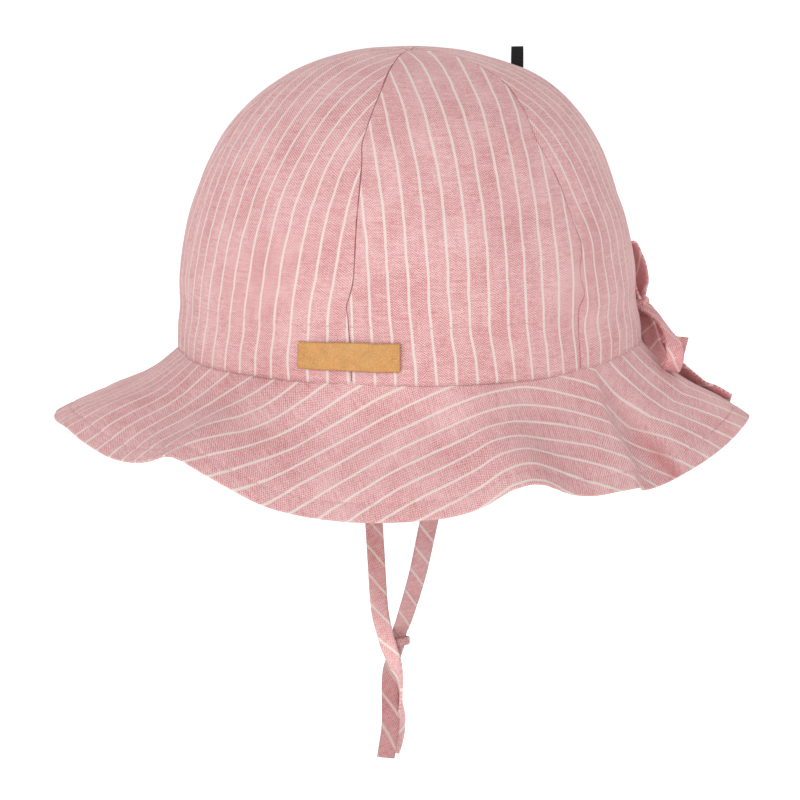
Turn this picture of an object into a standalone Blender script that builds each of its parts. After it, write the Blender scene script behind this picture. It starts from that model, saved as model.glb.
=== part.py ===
"""Baby sun hat of striped linen, with a six-gore crown, a wavy brim, two chin ties and a bow at the back.

Metres, +Z up. The origin is the middle of the head opening, at the seam between crown and brim. The front
faces -Y and the wearer's left is +X. An azimuth runs in degrees round the head, from the front (0) by the
wearer's left (90) to the back (180).
"""

import math
from collections import namedtuple

import bmesh
import bpy
from mathutils import Matrix, Vector

# Crown
CROWN_RADIUS = 0.080
CROWN_HEIGHT = 0.102
CROWN_SQUARENESS = 2.5  # 2 is an ellipsoid, and more is squarer
CROWN_WALL = 0.0012
GORE_COUNT = 6
SEAM_GAP = 0.0004
SEAM_DIP = 0.0008  # how far a seam lies in from the middle of a gore
APEX_HOLE_RADIUS = 0.0012
SLUMP_DEPTH = 0.0027  # the back of the crown sinks in a little at this height
SLUMP_HEIGHT = 0.056
SLUMP_SPREAD = 0.017
SLUMP_AZIMUTH = 165
CASING_HEIGHT = 0.015  # the stitched line that draws the crown in above its foot
CASING_DIP = 0.0008

# Where the bow's band pulls the foot of the crown up
PULL_HEIGHT = 0.0035
PULL_AZIMUTH = 148
PULL_SPREAD = 24

# Brim
BRIM_FRONT_WIDTH = 0.0478
BRIM_BACK_WIDTH = 0.0446
BRIM_WALL = 0.0012
BRIM_LIP = 0.020  # share of the width by which the inner half hangs lower than the outer half
FOLD_HEIGHT = 0.0030
FOLD_SEAM_AZIMUTH = 125
FOLD_HEM_AZIMUTH = 118
FOLD_RISE = 14  # degrees over which the cloth climbs to the fold's edge
FOLD_DROP = 3  # degrees over which it falls behind that edge

# Label and tag
LABEL_LENGTH = 0.035
LABEL_HEIGHT = 0.0098
LABEL_WALL = 0.0010
LABEL_AZIMUTH = 60
LABEL_FOOT = 0.0043
TAG_WIDTH = 0.0041
TAG_RISE = 0.0073  # how far it stands up out of the crown
TAG_WALL = 0.0012
TAG_RADIUS = 0.038
BACK_AZIMUTH = 180

# Ties and bow band
TIE_WIDTH = 0.0062
TIE_WALL = 0.0012
CHIN_DROP = 0.1033
TIE_PLANE_AZIMUTH = 75  # the way the knotted ties face
WRAP_HEIGHT = 0.0026
WRAP_WALL = 0.0009
BAND_WIDTH = 0.0062
BAND_WALL = 0.0012
BOW_HEIGHT = 0.0109
BOW_LOOP = 0.044
BOW_KNOT = 0.0062

CLEARANCE = 0.0003

# Azimuth and slope are in degrees, the slope below the horizontal. Sag is the share of the width by which the
# cloth hangs below a straight line from seam to hem.
BrimFold = namedtuple("BrimFold", "azimuth slope sag")
BRIM_FOLDS = [
    BrimFold(-15, 28, 0.035), BrimFold(0, 25, 0.035), BrimFold(6, 24, 0.035), BrimFold(13, 27.5, 0.035),
    BrimFold(22, 32, 0.035), BrimFold(30, 29, 0.035), BrimFold(37, 24, 0.035), BrimFold(45, 36, 0.035),
    BrimFold(52, 49, 0.035), BrimFold(65, 57, 0.035), BrimFold(80, 54, 0.035), BrimFold(86, 47, 0.035),
    BrimFold(91, 36, 0.035), BrimFold(96, 34, 0.035), BrimFold(103, 43, 0.035), BrimFold(112, 48, 0.035),
    BrimFold(124, 52, 0.035), BrimFold(134, 48.5, 0.040), BrimFold(144, 44, 0.048), BrimFold(151, 37.5, 0.058),
    BrimFold(158, 34, 0.072), BrimFold(167, 37, 0.072), BrimFold(178, 45, 0.065), BrimFold(190, 42, 0.060),
    BrimFold(202, 31, 0.040), BrimFold(214, 31, 0.035), BrimFold(228, 46, 0.035), BrimFold(245, 50, 0.035),
    BrimFold(258, 40, 0.035), BrimFold(267, 33, 0.035), BrimFold(280, 46, 0.035), BrimFold(296, 56, 0.035),
    BrimFold(312, 47, 0.035), BrimFold(324, 33.5, 0.035), BrimFold(336, 31.5, 0.035),
]

# Across and toward are shares of the crown's radius, in the plane that the knotted ties face. Across runs to the
# back, and toward runs to the viewer of that plane. Down is a share of the chin drop, width of the tie's width,
# and turn is in degrees about the tie's own run.
TiePoint = namedtuple("TiePoint", "across toward down width turn")
LEFT_TIE = [
    TiePoint(0.247, 0.921, -0.060, 1.00, 0), TiePoint(0.244, 0.915, 0.030, 1.00, 0),
    TiePoint(0.172, 0.740, 0.215, 1.00, 0), TiePoint(0.092, 0.480, 0.480, 1.00, 0),
    TiePoint(0.034, 0.235, 0.735, 0.96, 0), TiePoint(-0.022, 0.050, 0.920, 0.88, 0),
    TiePoint(-0.046, -0.018, 0.985, 0.80, 0), TiePoint(-0.052, -0.020, 1.025, 0.76, 0),
    TiePoint(-0.070, -0.022, 1.070, 0.76, 0), TiePoint(-0.088, -0.018, 1.120, 0.82, 5),
    TiePoint(-0.092, -0.006, 1.180, 0.88, 0), TiePoint(-0.090, 0.002, 1.250, 0.90, -5),
    TiePoint(-0.087, 0.006, 1.320, 1.00, -8), TiePoint(-0.106, 0.004, 1.418, 1.00, -12),
]
RIGHT_TIE = [
    TiePoint(-0.247, -0.921, -0.060, 1.00, 0), TiePoint(-0.240, -0.915, 0.030, 1.00, 0),
    TiePoint(-0.205, -0.740, 0.230, 1.00, 0), TiePoint(-0.176, -0.480, 0.490, 1.00, 0),
    TiePoint(-0.152, -0.235, 0.730, 1.00, 0), TiePoint(-0.134, -0.045, 0.900, 0.98, 0),
    TiePoint(-0.112, 0.012, 0.975, 0.92, 0), TiePoint(-0.094, 0.020, 1.025, 0.90, 10),
    TiePoint(-0.068, 0.028, 1.080, 0.84, 30), TiePoint(-0.048, 0.032, 1.130, 0.76, 60),
    TiePoint(-0.037, 0.012, 1.185, 0.72, 88), TiePoint(-0.036, -0.016, 1.245, 0.74, 94),
    TiePoint(-0.044, -0.046, 1.305, 0.84, 130), TiePoint(-0.066, -0.044, 1.365, 0.96, 164),
    TiePoint(-0.084, -0.038, 1.405, 1.00, 172),
]

# Shares of the bow's loop, from the middle of its knot: out from the crown, up, and to the wearer's left. Turn is
# in degrees about the band's own run.
BowPoint = namedtuple("BowPoint", "out up left turn")
LOWER_LOOP = [
    BowPoint(0.013, -0.023, 0.080, 0), BowPoint(0.007, -0.055, 0.323, 0), BowPoint(-0.007, -0.086, 0.577, 0),
    BowPoint(-0.020, -0.125, 0.784, 0), BowPoint(-0.036, -0.180, 0.923, 5), BowPoint(-0.050, -0.269, 0.989, 10),
    BowPoint(-0.060, -0.376, 0.905, 22), BowPoint(-0.058, -0.328, 0.720, 38),
    BowPoint(-0.060, -0.240, 0.489, 35), BowPoint(-0.032, -0.157, 0.264, 25),
    BowPoint(0.005, -0.084, 0.080, 10),
]
UPPER_LOOP = [
    BowPoint(0.007, 0.080, 0.000, 0), BowPoint(0.036, 0.182, -0.011, 0), BowPoint(0.022, 0.307, -0.034, 0),
    BowPoint(-0.014, 0.420, -0.057, 0), BowPoint(-0.050, 0.473, -0.068, 0), BowPoint(-0.089, 0.418, -0.064, 0),
    BowPoint(-0.080, 0.295, -0.034, 0), BowPoint(-0.070, 0.182, -0.011, 0), BowPoint(-0.059, 0.080, 0.000, 0),
]
SHORT_TAIL = [
    BowPoint(0.088, -0.060, 0.000, 0), BowPoint(0.175, -0.172, -0.010, -15),
    BowPoint(0.270, -0.290, -0.010, -50), BowPoint(0.375, -0.352, 0.000, -82),
]
LONG_TAIL = [
    BowPoint(0.040, -0.170, -0.040, 0), BowPoint(0.141, -0.336, 0.150, -10), BowPoint(0.189, -0.442, 0.360, -30),
    BowPoint(0.302, -0.552, 0.566, -37), BowPoint(0.393, -0.588, 0.661, -37),
    BowPoint(0.498, -0.645, 0.736, -37),
]

GORE_COLUMNS, GORE_ROWS = 10, 13
BRIM_COLUMNS, BRIM_ROWS = 108, 9
TIE_SECTIONS = 46
LOOP_SECTIONS = 30
TAIL_SECTIONS = 14

PINK = (0.76, 0.44, 0.44)
TAN = (0.60, 0.34, 0.13)
BLACK = (0.015, 0.015, 0.016)


def direction(azimuth):
    """Horizontal unit vector that points out from the head at an azimuth."""
    angle = math.radians(azimuth)
    return Vector((math.sin(angle), -math.cos(angle), 0))


def smooth_through(rows, places, place, period=None):
    """Each column of rows, read at a place between them on a smooth curve that passes through every row."""
    if period:
        place = places[0] + (place - places[0]) % period
    i = max((k for k, at in enumerate(places) if at <= place), default=0)
    i = min(i, len(places) - (1 if period else 2))

    def row(k):
        if period:
            turns, k = divmod(k, len(places))
            return places[k] + turns * period, rows[k]
        k = min(max(k, 0), len(places) - 1)
        return places[k], rows[k]

    (x0, r0), (x1, r1), (x2, r2), (x3, r3) = row(i - 1), row(i), row(i + 1), row(i + 2)
    t = (place - x1) / (x2 - x1)
    weights = (2 * t**3 - 3 * t**2 + 1, t**3 - 2 * t**2 + t, 3 * t**2 - 2 * t**3, t**3 - t**2)
    values = []
    for before, start, end, after in zip(r0, r1, r2, r3):
        leaving = (end - before) / (x2 - x0) * (x2 - x1)
        arriving = (after - start) / (x3 - x1) * (x2 - x1)
        values.append(sum(w * v for w, v in zip(weights, (start, leaving, end, arriving))))
    return values


def off_azimuth(azimuth, middle):
    """Signed degrees from a middle azimuth, by the short way round."""
    return (azimuth - middle + 180) % 360 - 180


def foot_height(azimuth):
    """Height of the seam between crown and brim, which the bow's band pulls up on one side."""
    return PULL_HEIGHT * math.exp(-((off_azimuth(azimuth, PULL_AZIMUTH) / PULL_SPREAD) ** 2))


def crown_radius(height):
    """Radius of the crown over the middle of a gore, at a height above its foot."""
    share = min(max(height / CROWN_HEIGHT, 0), 1)
    radius = CROWN_RADIUS * (1 - share**CROWN_SQUARENESS) ** (1 / CROWN_SQUARENESS)
    casing = math.exp(-(((height - CASING_HEIGHT) / (0.4 * CASING_HEIGHT)) ** 2))
    return radius - CASING_DIP * casing


def crown_height(radius):
    """Height of the crown over the middle of a gore, at a radius."""
    return CROWN_HEIGHT * (1 - (radius / CROWN_RADIUS) ** CROWN_SQUARENESS) ** (1 / CROWN_SQUARENESS)


def crown_point(azimuth, share):
    """Point on the crown's outer face: share runs from its foot to its apex."""
    angle = share * math.pi / 2
    height = CROWN_HEIGHT * math.sin(angle) ** (2 / CROWN_SQUARENESS)
    across = (azimuth * GORE_COUNT / 360) % 1
    dip = SEAM_DIP * (1 - math.sin(math.pi * across)) ** 2 * math.cos(angle)
    back = max(0, math.cos(math.radians(off_azimuth(azimuth, SLUMP_AZIMUTH)))) ** 2
    slump = SLUMP_DEPTH * back * math.exp(-(((height - SLUMP_HEIGHT) / SLUMP_SPREAD) ** 2))
    radius = crown_radius(height) - dip - slump
    rise = foot_height(azimuth) * (1 - height / CROWN_HEIGHT)
    return direction(azimuth) * radius + Vector((0, 0, height + rise))


def brim_width(azimuth):
    half = (1 + math.cos(math.radians(azimuth))) / 2
    return BRIM_BACK_WIDTH + (BRIM_FRONT_WIDTH - BRIM_BACK_WIDTH) * half


def brim_fold(azimuth, share):
    """How far the sharp fold at the wearer's left lifts the brim, along its own normal."""
    edge = FOLD_SEAM_AZIMUTH + (FOLD_HEM_AZIMUTH - FOLD_SEAM_AZIMUTH) * share
    past = off_azimuth(azimuth, edge)
    if past < 0:
        height = max(0, 1 + past / FOLD_RISE)
    else:
        height = max(0, 1 - past / FOLD_DROP)
    return FOLD_HEIGHT * height * height * (3 - 2 * height) * math.sqrt(share)


def brim_point(azimuth, share):
    """Point on the brim's upper face: share runs from the seam to the hem."""
    places = [fold.azimuth for fold in BRIM_FOLDS]
    slope, sag = smooth_through([fold[1:] for fold in BRIM_FOLDS], places, azimuth, 360)
    slope = math.radians(slope)
    out, up = direction(azimuth), Vector((0, 0, 1))
    along = out * math.cos(slope) - up * math.sin(slope)
    normal = out * math.sin(slope) + up * math.cos(slope)
    width = brim_width(azimuth)
    hang = sag * math.sin(math.pi * share) + BRIM_LIP * math.sin(2 * math.pi * share)
    start = out * (CROWN_RADIUS - CROWN_WALL / 2) + up * (foot_height(azimuth) - CLEARANCE)
    return start + along * width * share - normal * (hang * width - brim_fold(azimuth, share))


def material(name, colour, roughness):
    made = bpy.data.materials.get(name)
    if made is None:
        made = bpy.data.materials.new(name)
        made.use_nodes = True
        shader = made.node_tree.nodes["Principled BSDF"]
        shader.inputs["Base Color"].default_value = (*colour, 1)
        shader.inputs["Roughness"].default_value = roughness
        shader.inputs["Metallic"].default_value = 0
    return made


def add_object(name, bm, finish):
    mesh = bpy.data.meshes.new(name)
    bm.to_mesh(mesh)
    bm.free()
    mesh.shade_smooth()
    mesh.materials.append(finish)
    made = bpy.data.objects.new(name, mesh)
    bpy.data.collections["baby_sun_hat"].objects.link(made)
    return made


def sheet(name, point, columns, rows, wall, finish, closed=False):
    """A cloth wall: a grid laid on point(u, v), with u and v from 0 to 1, thickened to its inner side."""
    bm = bmesh.new()
    bmesh.ops.create_grid(bm, x_segments=columns, y_segments=rows, size=0.5)
    for vert in bm.verts:
        vert.co = point(vert.co.x + 0.5, vert.co.y + 0.5)
    if closed:
        bmesh.ops.remove_doubles(bm, verts=bm.verts, dist=1e-6)
    bm.normal_update()
    made = add_object(name, bm, finish)
    solidify = made.modifiers.new("wall", "SOLIDIFY")
    solidify.thickness = wall
    solidify.offset = -1
    solidify.use_even_offset = True
    return made


def run_at(centres, i):
    return (centres[min(i + 1, len(centres) - 1)] - centres[max(i - 1, 0)]).normalized()


def turned(centres, sides, turns):
    """The sides made square to the run along the centres, and turned about that run by degrees."""
    made = []
    for i, (side, turn) in enumerate(zip(sides, turns)):
        run = run_at(centres, i)
        square = (side - run * side.dot(run)).normalized()
        made.append(Matrix.Rotation(math.radians(turn), 3, run) @ square)
    return made


def strap(name, centres, widths, sides, wall, finish):
    """A flat band with eased edges, swept along its centres. Each side is the way that the width lies there."""
    bm = bmesh.new()
    rings = []
    for i, centre in enumerate(centres):
        side = sides[i]
        face = run_at(centres, i).cross(side)
        half, thin = widths[i] / 2, wall / 2
        outline = [(half, 0.5), (half - thin, 1), (thin - half, 1), (-half, 0.5)]
        outline += [(-x, -y) for x, y in outline]
        rings.append([bm.verts.new(centre + side * x + face * y * thin) for x, y in outline])
    for ring, after in zip(rings, rings[1:]):
        for k in range(len(ring)):
            n = (k + 1) % len(ring)
            bm.faces.new((ring[k], ring[n], after[n], after[k]))
    bm.faces.new(rings[0])
    bm.faces.new(rings[-1])
    bmesh.ops.recalc_face_normals(bm, faces=bm.faces)
    return add_object(name, bm, finish)


def sampled(points, sections):
    """Rows of numbers read at even steps along a table's smooth curve."""
    places = list(range(len(points)))
    last = len(points) - 1
    return [smooth_through(points, places, last * i / (sections - 1)) for i in range(sections)]


def crown_gore(number, finish):
    span = 360 / GORE_COUNT
    first_seam = number * span

    def point(u, v):
        tip = math.acos(min(1, (APEX_HOLE_RADIUS / CROWN_RADIUS) ** (CROWN_SQUARENESS / 2)))
        share = v * tip / (math.pi / 2)
        radius = crown_point(first_seam + span / 2, share).xy.length
        margin = math.degrees(SEAM_GAP / 2 / radius)
        return crown_point(first_seam + margin + (span - 2 * margin) * u, share)

    return sheet(f"crown_gore_{number + 1}", point, GORE_COLUMNS, GORE_ROWS, CROWN_WALL, finish)


def brim(finish):
    def point(u, v):
        return brim_point(360 * u, 1 - v)

    return sheet("brim", point, BRIM_COLUMNS, BRIM_ROWS, BRIM_WALL, finish, closed=True)


def label_patch(finish):
    """The patch over the seam at the wearer's left, which curves with the crown and spans the seam's dip."""

    def point(u, v):
        height = LABEL_FOOT + LABEL_HEIGHT * v
        outer = crown_radius(0) + CLEARANCE + LABEL_WALL
        azimuth = LABEL_AZIMUTH + math.degrees(LABEL_LENGTH / outer) * (u - 0.5)
        radius = crown_radius(height) + CLEARANCE + LABEL_WALL
        return direction(azimuth) * radius + Vector((0, 0, height))

    return sheet("label_patch", point, 12, 3, LABEL_WALL, finish)


def seam_tag(finish):
    """The folded tag that stands up out of the back seam, near the top."""
    out = direction(BACK_AZIMUTH)
    side = out.cross(Vector((0, 0, 1)))
    bm = bmesh.new()
    bmesh.ops.create_cube(bm, size=1)
    for vert in bm.verts:
        radius = TAG_RADIUS + vert.co.y * TAG_WIDTH
        top = crown_height(TAG_RADIUS) + TAG_RISE
        height = top if vert.co.z > 0 else crown_height(radius) + CLEARANCE
        vert.co = out * radius + side * vert.co.x * TAG_WALL + Vector((0, 0, height))
    bmesh.ops.recalc_face_normals(bm, faces=bm.faces)
    made = add_object("seam_tag", bm, finish)
    edges = made.modifiers.new("fold", "BEVEL")
    edges.width = TAG_WALL * 0.3
    edges.segments = 2
    return made


def tie_place(across, toward, down):
    out = direction(TIE_PLANE_AZIMUTH)
    back = direction(TIE_PLANE_AZIMUTH + 90)
    return back * across * CROWN_RADIUS + out * toward * CROWN_RADIUS - Vector((0, 0, down * CHIN_DROP))


def chin_tie(name, points, facing, finish):
    """A chin tie, sewn in at the foot of the crown, which hangs to the knot and ends below it."""
    rows = sampled(points, TIE_SECTIONS)
    centres = [tie_place(*row[:3]) for row in rows]
    hung = direction(TIE_PLANE_AZIMUTH + 90)
    sewn = direction(facing + 90)
    sewn = sewn if sewn.dot(hung) > 0 else -sewn
    flat = [sewn.lerp(hung, min(max(row[2], 0), 1)) for row in rows]
    sides = turned(centres, flat, [row[4] for row in rows])
    return strap(name, centres, [TIE_WIDTH * row[3] for row in rows], sides, TIE_WALL, finish)


def tie_wrap(finish):
    """The turn of cloth round the left tie, under the chin, that holds the pair together."""
    at = tie_place(-0.050, -0.020, 1.018)
    back = direction(TIE_PLANE_AZIMUTH + 90)
    out = direction(TIE_PLANE_AZIMUTH)
    wide = TIE_WIDTH * 0.45 + CLEARANCE + WRAP_WALL
    deep = TIE_WALL / 2 + 3 * CLEARANCE + WRAP_WALL
    bm = bmesh.new()
    steps = 20
    rings = []
    for i in range(steps):
        angle = 2 * math.pi * i / steps
        ring = []
        for inset, up in ((0, 1), (0, -1), (WRAP_WALL, -1), (WRAP_WALL, 1)):
            across = back * math.cos(angle) * (wide - inset)
            away = out * math.sin(angle) * (deep - inset)
            lift = Vector((0, 0, WRAP_HEIGHT / 2 * up + 0.15 * WRAP_HEIGHT * math.cos(angle)))
            ring.append(bm.verts.new(at + across + away + lift))
        rings.append(ring)
    for i, ring in enumerate(rings):
        after = rings[(i + 1) % steps]
        for k in range(4):
            bm.faces.new((ring[k], ring[(k + 1) % 4], after[(k + 1) % 4], after[k]))
    bmesh.ops.recalc_face_normals(bm, faces=bm.faces)
    return add_object("tie_wrap", bm, finish)


def bow_place(out, up, left):
    knot = CROWN_RADIUS + CLEARANCE + BOW_KNOT / 2
    at = direction(BACK_AZIMUTH) * (knot + out * BOW_LOOP)
    at += direction(BACK_AZIMUTH - 90) * left * BOW_LOOP
    return at + Vector((0, 0, BOW_HEIGHT + up * BOW_LOOP))


def bow_band(name, points, sections, side, finish):
    rows = sampled(points, sections)
    centres = [bow_place(*row[:3]) for row in rows]
    sides = turned(centres, [side] * sections, [row[3] for row in rows])
    return strap(name, centres, [BAND_WIDTH] * sections, sides, BAND_WALL, finish)


def bow_knot(finish):
    bm = bmesh.new()
    bmesh.ops.create_cube(bm, size=BOW_KNOT)
    bmesh.ops.translate(bm, verts=bm.verts, vec=bow_place(0, 0, 0))
    made = add_object("bow_knot", bm, finish)
    edges = made.modifiers.new("soft edges", "BEVEL")
    edges.width = BOW_KNOT * 0.3
    edges.segments = 3
    return made


def bow(finish):
    left, out = direction(BACK_AZIMUTH - 90), direction(BACK_AZIMUTH)
    bow_knot(finish)
    bow_band("bow_loop_lower", LOWER_LOOP, LOOP_SECTIONS, out, finish)
    bow_band("bow_loop_upper", UPPER_LOOP, LOOP_SECTIONS, left, finish)
    bow_band("bow_tail_short", SHORT_TAIL, TAIL_SECTIONS, left, finish)
    bow_band("bow_tail_long", LONG_TAIL, TAIL_SECTIONS, left, finish)


def main():
    for obj in list(bpy.data.objects):
        bpy.data.objects.remove(obj, do_unlink=True)
    parts = bpy.data.collections.new("baby_sun_hat")
    bpy.context.scene.collection.children.link(parts)

    for number in range(GORE_COUNT):
        crown_gore(number, material("crown_linen", PINK, 0.85))
    brim(material("brim_linen", PINK, 0.85))
    label_patch(material("tan_patch", TAN, 0.6))
    seam_tag(material("black_tape", BLACK, 0.7))
    chin_tie("chin_tie_left", LEFT_TIE, 90, material("tie_linen", PINK, 0.85))
    chin_tie("chin_tie_right", RIGHT_TIE, 270, material("tie_linen", PINK, 0.85))
    tie_wrap(material("tie_linen", PINK, 0.85))
    bow(material("bow_linen", PINK, 0.85))


main()
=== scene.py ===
"""The look of a baby sun hat: striped pink linen, its seams and stitching, a patch, a tag, chin ties and a bow.

Metres, +Z up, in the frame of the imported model. The origin is the middle of the head opening, the front faces -Y
and the wearer's left is +X. An azimuth runs in degrees round the head, from the front (0) by the wearer's left
(90) to the back (180). Each group of pieces is made by its own operator, and main() calls them in order.
"""

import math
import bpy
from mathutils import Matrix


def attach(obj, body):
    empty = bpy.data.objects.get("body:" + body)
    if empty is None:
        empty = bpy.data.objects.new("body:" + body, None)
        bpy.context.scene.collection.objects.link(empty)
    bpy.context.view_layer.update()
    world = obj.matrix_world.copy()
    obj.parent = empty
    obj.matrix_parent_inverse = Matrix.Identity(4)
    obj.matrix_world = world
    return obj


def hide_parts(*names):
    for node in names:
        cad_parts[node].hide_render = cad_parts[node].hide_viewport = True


bl_info = {
    "name": "Baby Sun Hat",
    "version": (1, 0, 0),
    "blender": (4, 5, 0),
    "location": "View3D > Sidebar > Sun Hat",
    "description": "Sews the packed sun hat out of striped linen, with its stitching, patch, tag, ties and bow",
    "category": "Object",
}

from collections import namedtuple

import bpy
import numpy as np
from bpy.props import FloatProperty, FloatVectorProperty, PointerProperty
from mathutils import Matrix, Vector, noise

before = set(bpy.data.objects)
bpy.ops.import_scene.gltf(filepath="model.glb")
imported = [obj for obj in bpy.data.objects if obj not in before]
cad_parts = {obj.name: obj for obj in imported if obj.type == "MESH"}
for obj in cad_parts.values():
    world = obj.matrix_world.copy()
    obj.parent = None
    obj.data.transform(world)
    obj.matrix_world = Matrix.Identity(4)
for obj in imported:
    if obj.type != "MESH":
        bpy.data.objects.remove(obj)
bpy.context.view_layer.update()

MM = 1000  # millimetres in a metre: the materials and some of the tables count in millimetres
UP = np.array([0, 0, 1.0])
CLEARANCE = 0.0003  # the gap that stands for sewing between two pieces

# A spread, here and below, is how far from the middle of a smooth bump a little over a third of it is left.
CREASE_SIZE = 0.021
FINE_CREASE_SIZE = 0.0085
FINE_CREASE_SHARE = 0.45

# Crown
CROWN_RADIUS = 0.080
CROWN_HEIGHT = 0.102
CROWN_SQUARENESS = 2.5  # 2 would be round, and more is squarer
CROWN_WALL = 0.0012
GORE_COUNT = 6
GORE_SPAN = 360 / GORE_COUNT
GORE_CLOTH = 0.00045
GORE_ROWS = 92
GORE_COLUMNS = 49
SEAM_DIP = 0.0008
SEAM_ROUNDING = 0.0003
SEAM_SLIT = 0.00007
SEAM_ALLOWANCE = 0.0034
SEAM_CLOTH = 0.7 * GORE_CLOTH  # thinner inside the seam, where two gores lie side by side
SEAM_TURNS = np.radians([22.5, 45, 67.5, 90])  # the steps in which a gore's side turns in
ALLOWANCE_STEPS = (0.33, 0.66, 1.0)
ALLOWANCE_FOOT = 0.004  # the allowance narrows to a share of its width over this distance from the foot
ALLOWANCE_FOOT_SHARE = 0.25
ALLOWANCE_APEX = 0.006  # and over this distance from the crown's axis
ALLOWANCE_APEX_SHARE = 0.2
APEX_RADIUS = 0.0002
APEX_PINCH = 0.0009
APEX_SPREAD = 0.0022
APEX_THINNING = 0.004  # the cloth thins to a share of its wall over this distance from the crown's axis
APEX_THIN_SHARE = 0.15
SLUMP_DEPTH = 0.0027  # the crown sinks in here, towards the back
SLUMP_HEIGHT = 0.056
SLUMP_SPREAD = 0.017
SLUMP_AZIMUTH = 165
DENT_DEPTH = 0.0024  # the bow's band draws the crown in beside the bow
DENT_AZIMUTH = 158
DENT_AZIMUTH_SPREAD = 14
DENT_HEIGHT = 0.024
DENT_HEIGHT_SPREAD = 0.020
CASING_HEIGHT = 0.015
CASING_SPREAD = 0.4 * CASING_HEIGHT
CASING_DIP = 0.0008
CASING_STITCH_HEIGHT = 0.0185
PULL_HEIGHT = 0.0035  # how far the bow's band pulls the crown's foot up
PULL_AZIMUTH = 148
PULL_SPREAD = 24
FOOT_LIP = 0.00018  # how far the crown's foot comes down towards the brim, past its solid

# How far two seams sway from their meridians, in degrees: the one under the patch and the next towards the back,
# which the bow's band tugs at. Heights are in millimetres.
SeamSway = namedtuple("SeamSway", "height patch_seam next_seam")
SEAM_SWAY = [SeamSway(*row) for row in (
    (0, 1.2, 0.3), (10, 0.9, 0.3), (17, 0.3, 0.1), (21, 0.1, 0.2), (25, -0.3, 2.1), (29, 0.5, 1.5),
    (33, 1.1, 1.2), (41, 1.3, 3.7), (46, 1.25, 3.2), (53, 1.2, 2.4), (60, 1.3, 1.6), (66, 1.2, 0.4),
    (72, 0.8, -1.1), (76, 0.1, -2.0), (81, 0.6, -1.0), (87, 1.6, 0.9), (93, 2.7, 3.0), (102, 3.0, 3.0),
)]
SWAY_SPREAD = 11  # degrees over which the cloth beside a seam goes with it

# How far the stripes stray on the three gores from the front to the bow, in millimetres across the cloth: at a
# gore's side towards the front, its middle and its other side. Heights are in millimetres.
StripeRun = namedtuple("StripeRun", "height front middle back")
STRIPE_RUNS = [[StripeRun(*row) for row in gore] for gore in (
    (
        (0, 4.5, 1.6, -1.2), (9, 2.4, 0.8, -0.2), (17, 0.5, -0.1, 0.4), (25, -1.1, -1.4, 0.0),
        (34, -2.7, -2.1, -0.9), (45, -4.3, -2.7, -1.3), (57, -6.2, -3.7, -1.1), (68, -7.8, -5.3, -1.3),
        (78, -9.0, -7.0, -2.6), (88, -9.8, -7.7, -4.6), (98, -10.4, -7.7, -6.4),
    ),
    (
        (0, -0.4, -1.3, -0.9), (9, -0.2, -0.4, 0.2), (17, 0.0, 0.7, 1.2), (25, 0.3, 1.3, 1.3),
        (34, 0.5, 1.4, 0.9), (45, 0.8, 1.3, 0.5), (57, 1.1, 1.3, 0.8), (68, 1.3, 1.8, 1.8), (78, 1.4, 2.4, 2.3),
        (88, 1.6, 2.9, 1.9), (98, 1.8, 3.6, 1.6),
    ),
    (
        (0, -2.6, 0.0, 0.0), (9, -2.3, -0.3, 0.0), (15, -2.5, 0.0, 0.0), (20, -3.9, -0.3, 0.0),
        (28, -4.5, 1.4, 0.0), (34, -4.9, 1.9, 0.0), (41, -6.8, 0.2, 0.0), (48, -6.4, -0.8, 0.0),
        (57, -5.4, 0.3, 0.0), (66, -4.2, 1.0, 0.0), (75, -3.4, 1.7, 0.0), (85, -2.4, 1.5, 0.0),
        (98, -1.5, 1.0, 0.0),
    ),
)]
STRIPE_WOBBLE = 0.00040
STRIPE_WOBBLE_SIZE = 0.014
GORE_PHASES = (0.0017, 0.0, 0.0, 0.0024, -0.0015, 0.0009)  # where a stripe lies, from the gore's middle

# Brim
BRIM_FRONT_WIDTH = 0.0478
BRIM_BACK_WIDTH = 0.0446
BRIM_CLOTH = 0.0007
BRIM_HEM_CLOTH = 0.0010
BRIM_RIM = 0.0004  # how far its two edges bulge
BRIM_LIP = 0.020
BRIM_TUCK = 0.0010  # how far its inner edge runs in under the crown
BRIM_ROWS = 50
BRIM_COLUMNS = 864
BRIM_CREASES = 1.05
BRIM_LOFT = 0.036  # how much less it sags beside the bow, as a share of its width
LOFT_AZIMUTH = 163
LOFT_SPREAD = 17
BACK_AZIMUTH = 180
BACK_SEAM_DIP = 0.0005
BACK_SEAM_SPREAD = 0.35

# The sharp fold at the wearer's left, which rises and drops over so many degrees, and the dip behind it
FOLD_HEIGHT = 0.0030
FOLD_SEAM_AZIMUTH = 125
FOLD_HEM_AZIMUTH = 118
FOLD_RISE = 14
FOLD_DROP = 2.2
FOLD_HIDDEN = 7.5  # degrees of cloth that lie hidden in the fold
FOLD_FRONT = 60  # no cloth is hidden in front of this azimuth
VALLEY_DEPTH = 0.0024
VALLEY_PAST = 6
VALLEY_SPREAD = 4.5
DIP_SHADE = 0.55  # painted shade in the dip behind the fold, which grows from one share of the brim's width over another
DIP_SHADE_START = 0.35
DIP_SHADE_GROWTH = 0.45
DIP_SHADE_AZIMUTH = 129.2
DIP_SHADE_SPREAD = 2.0

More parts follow.
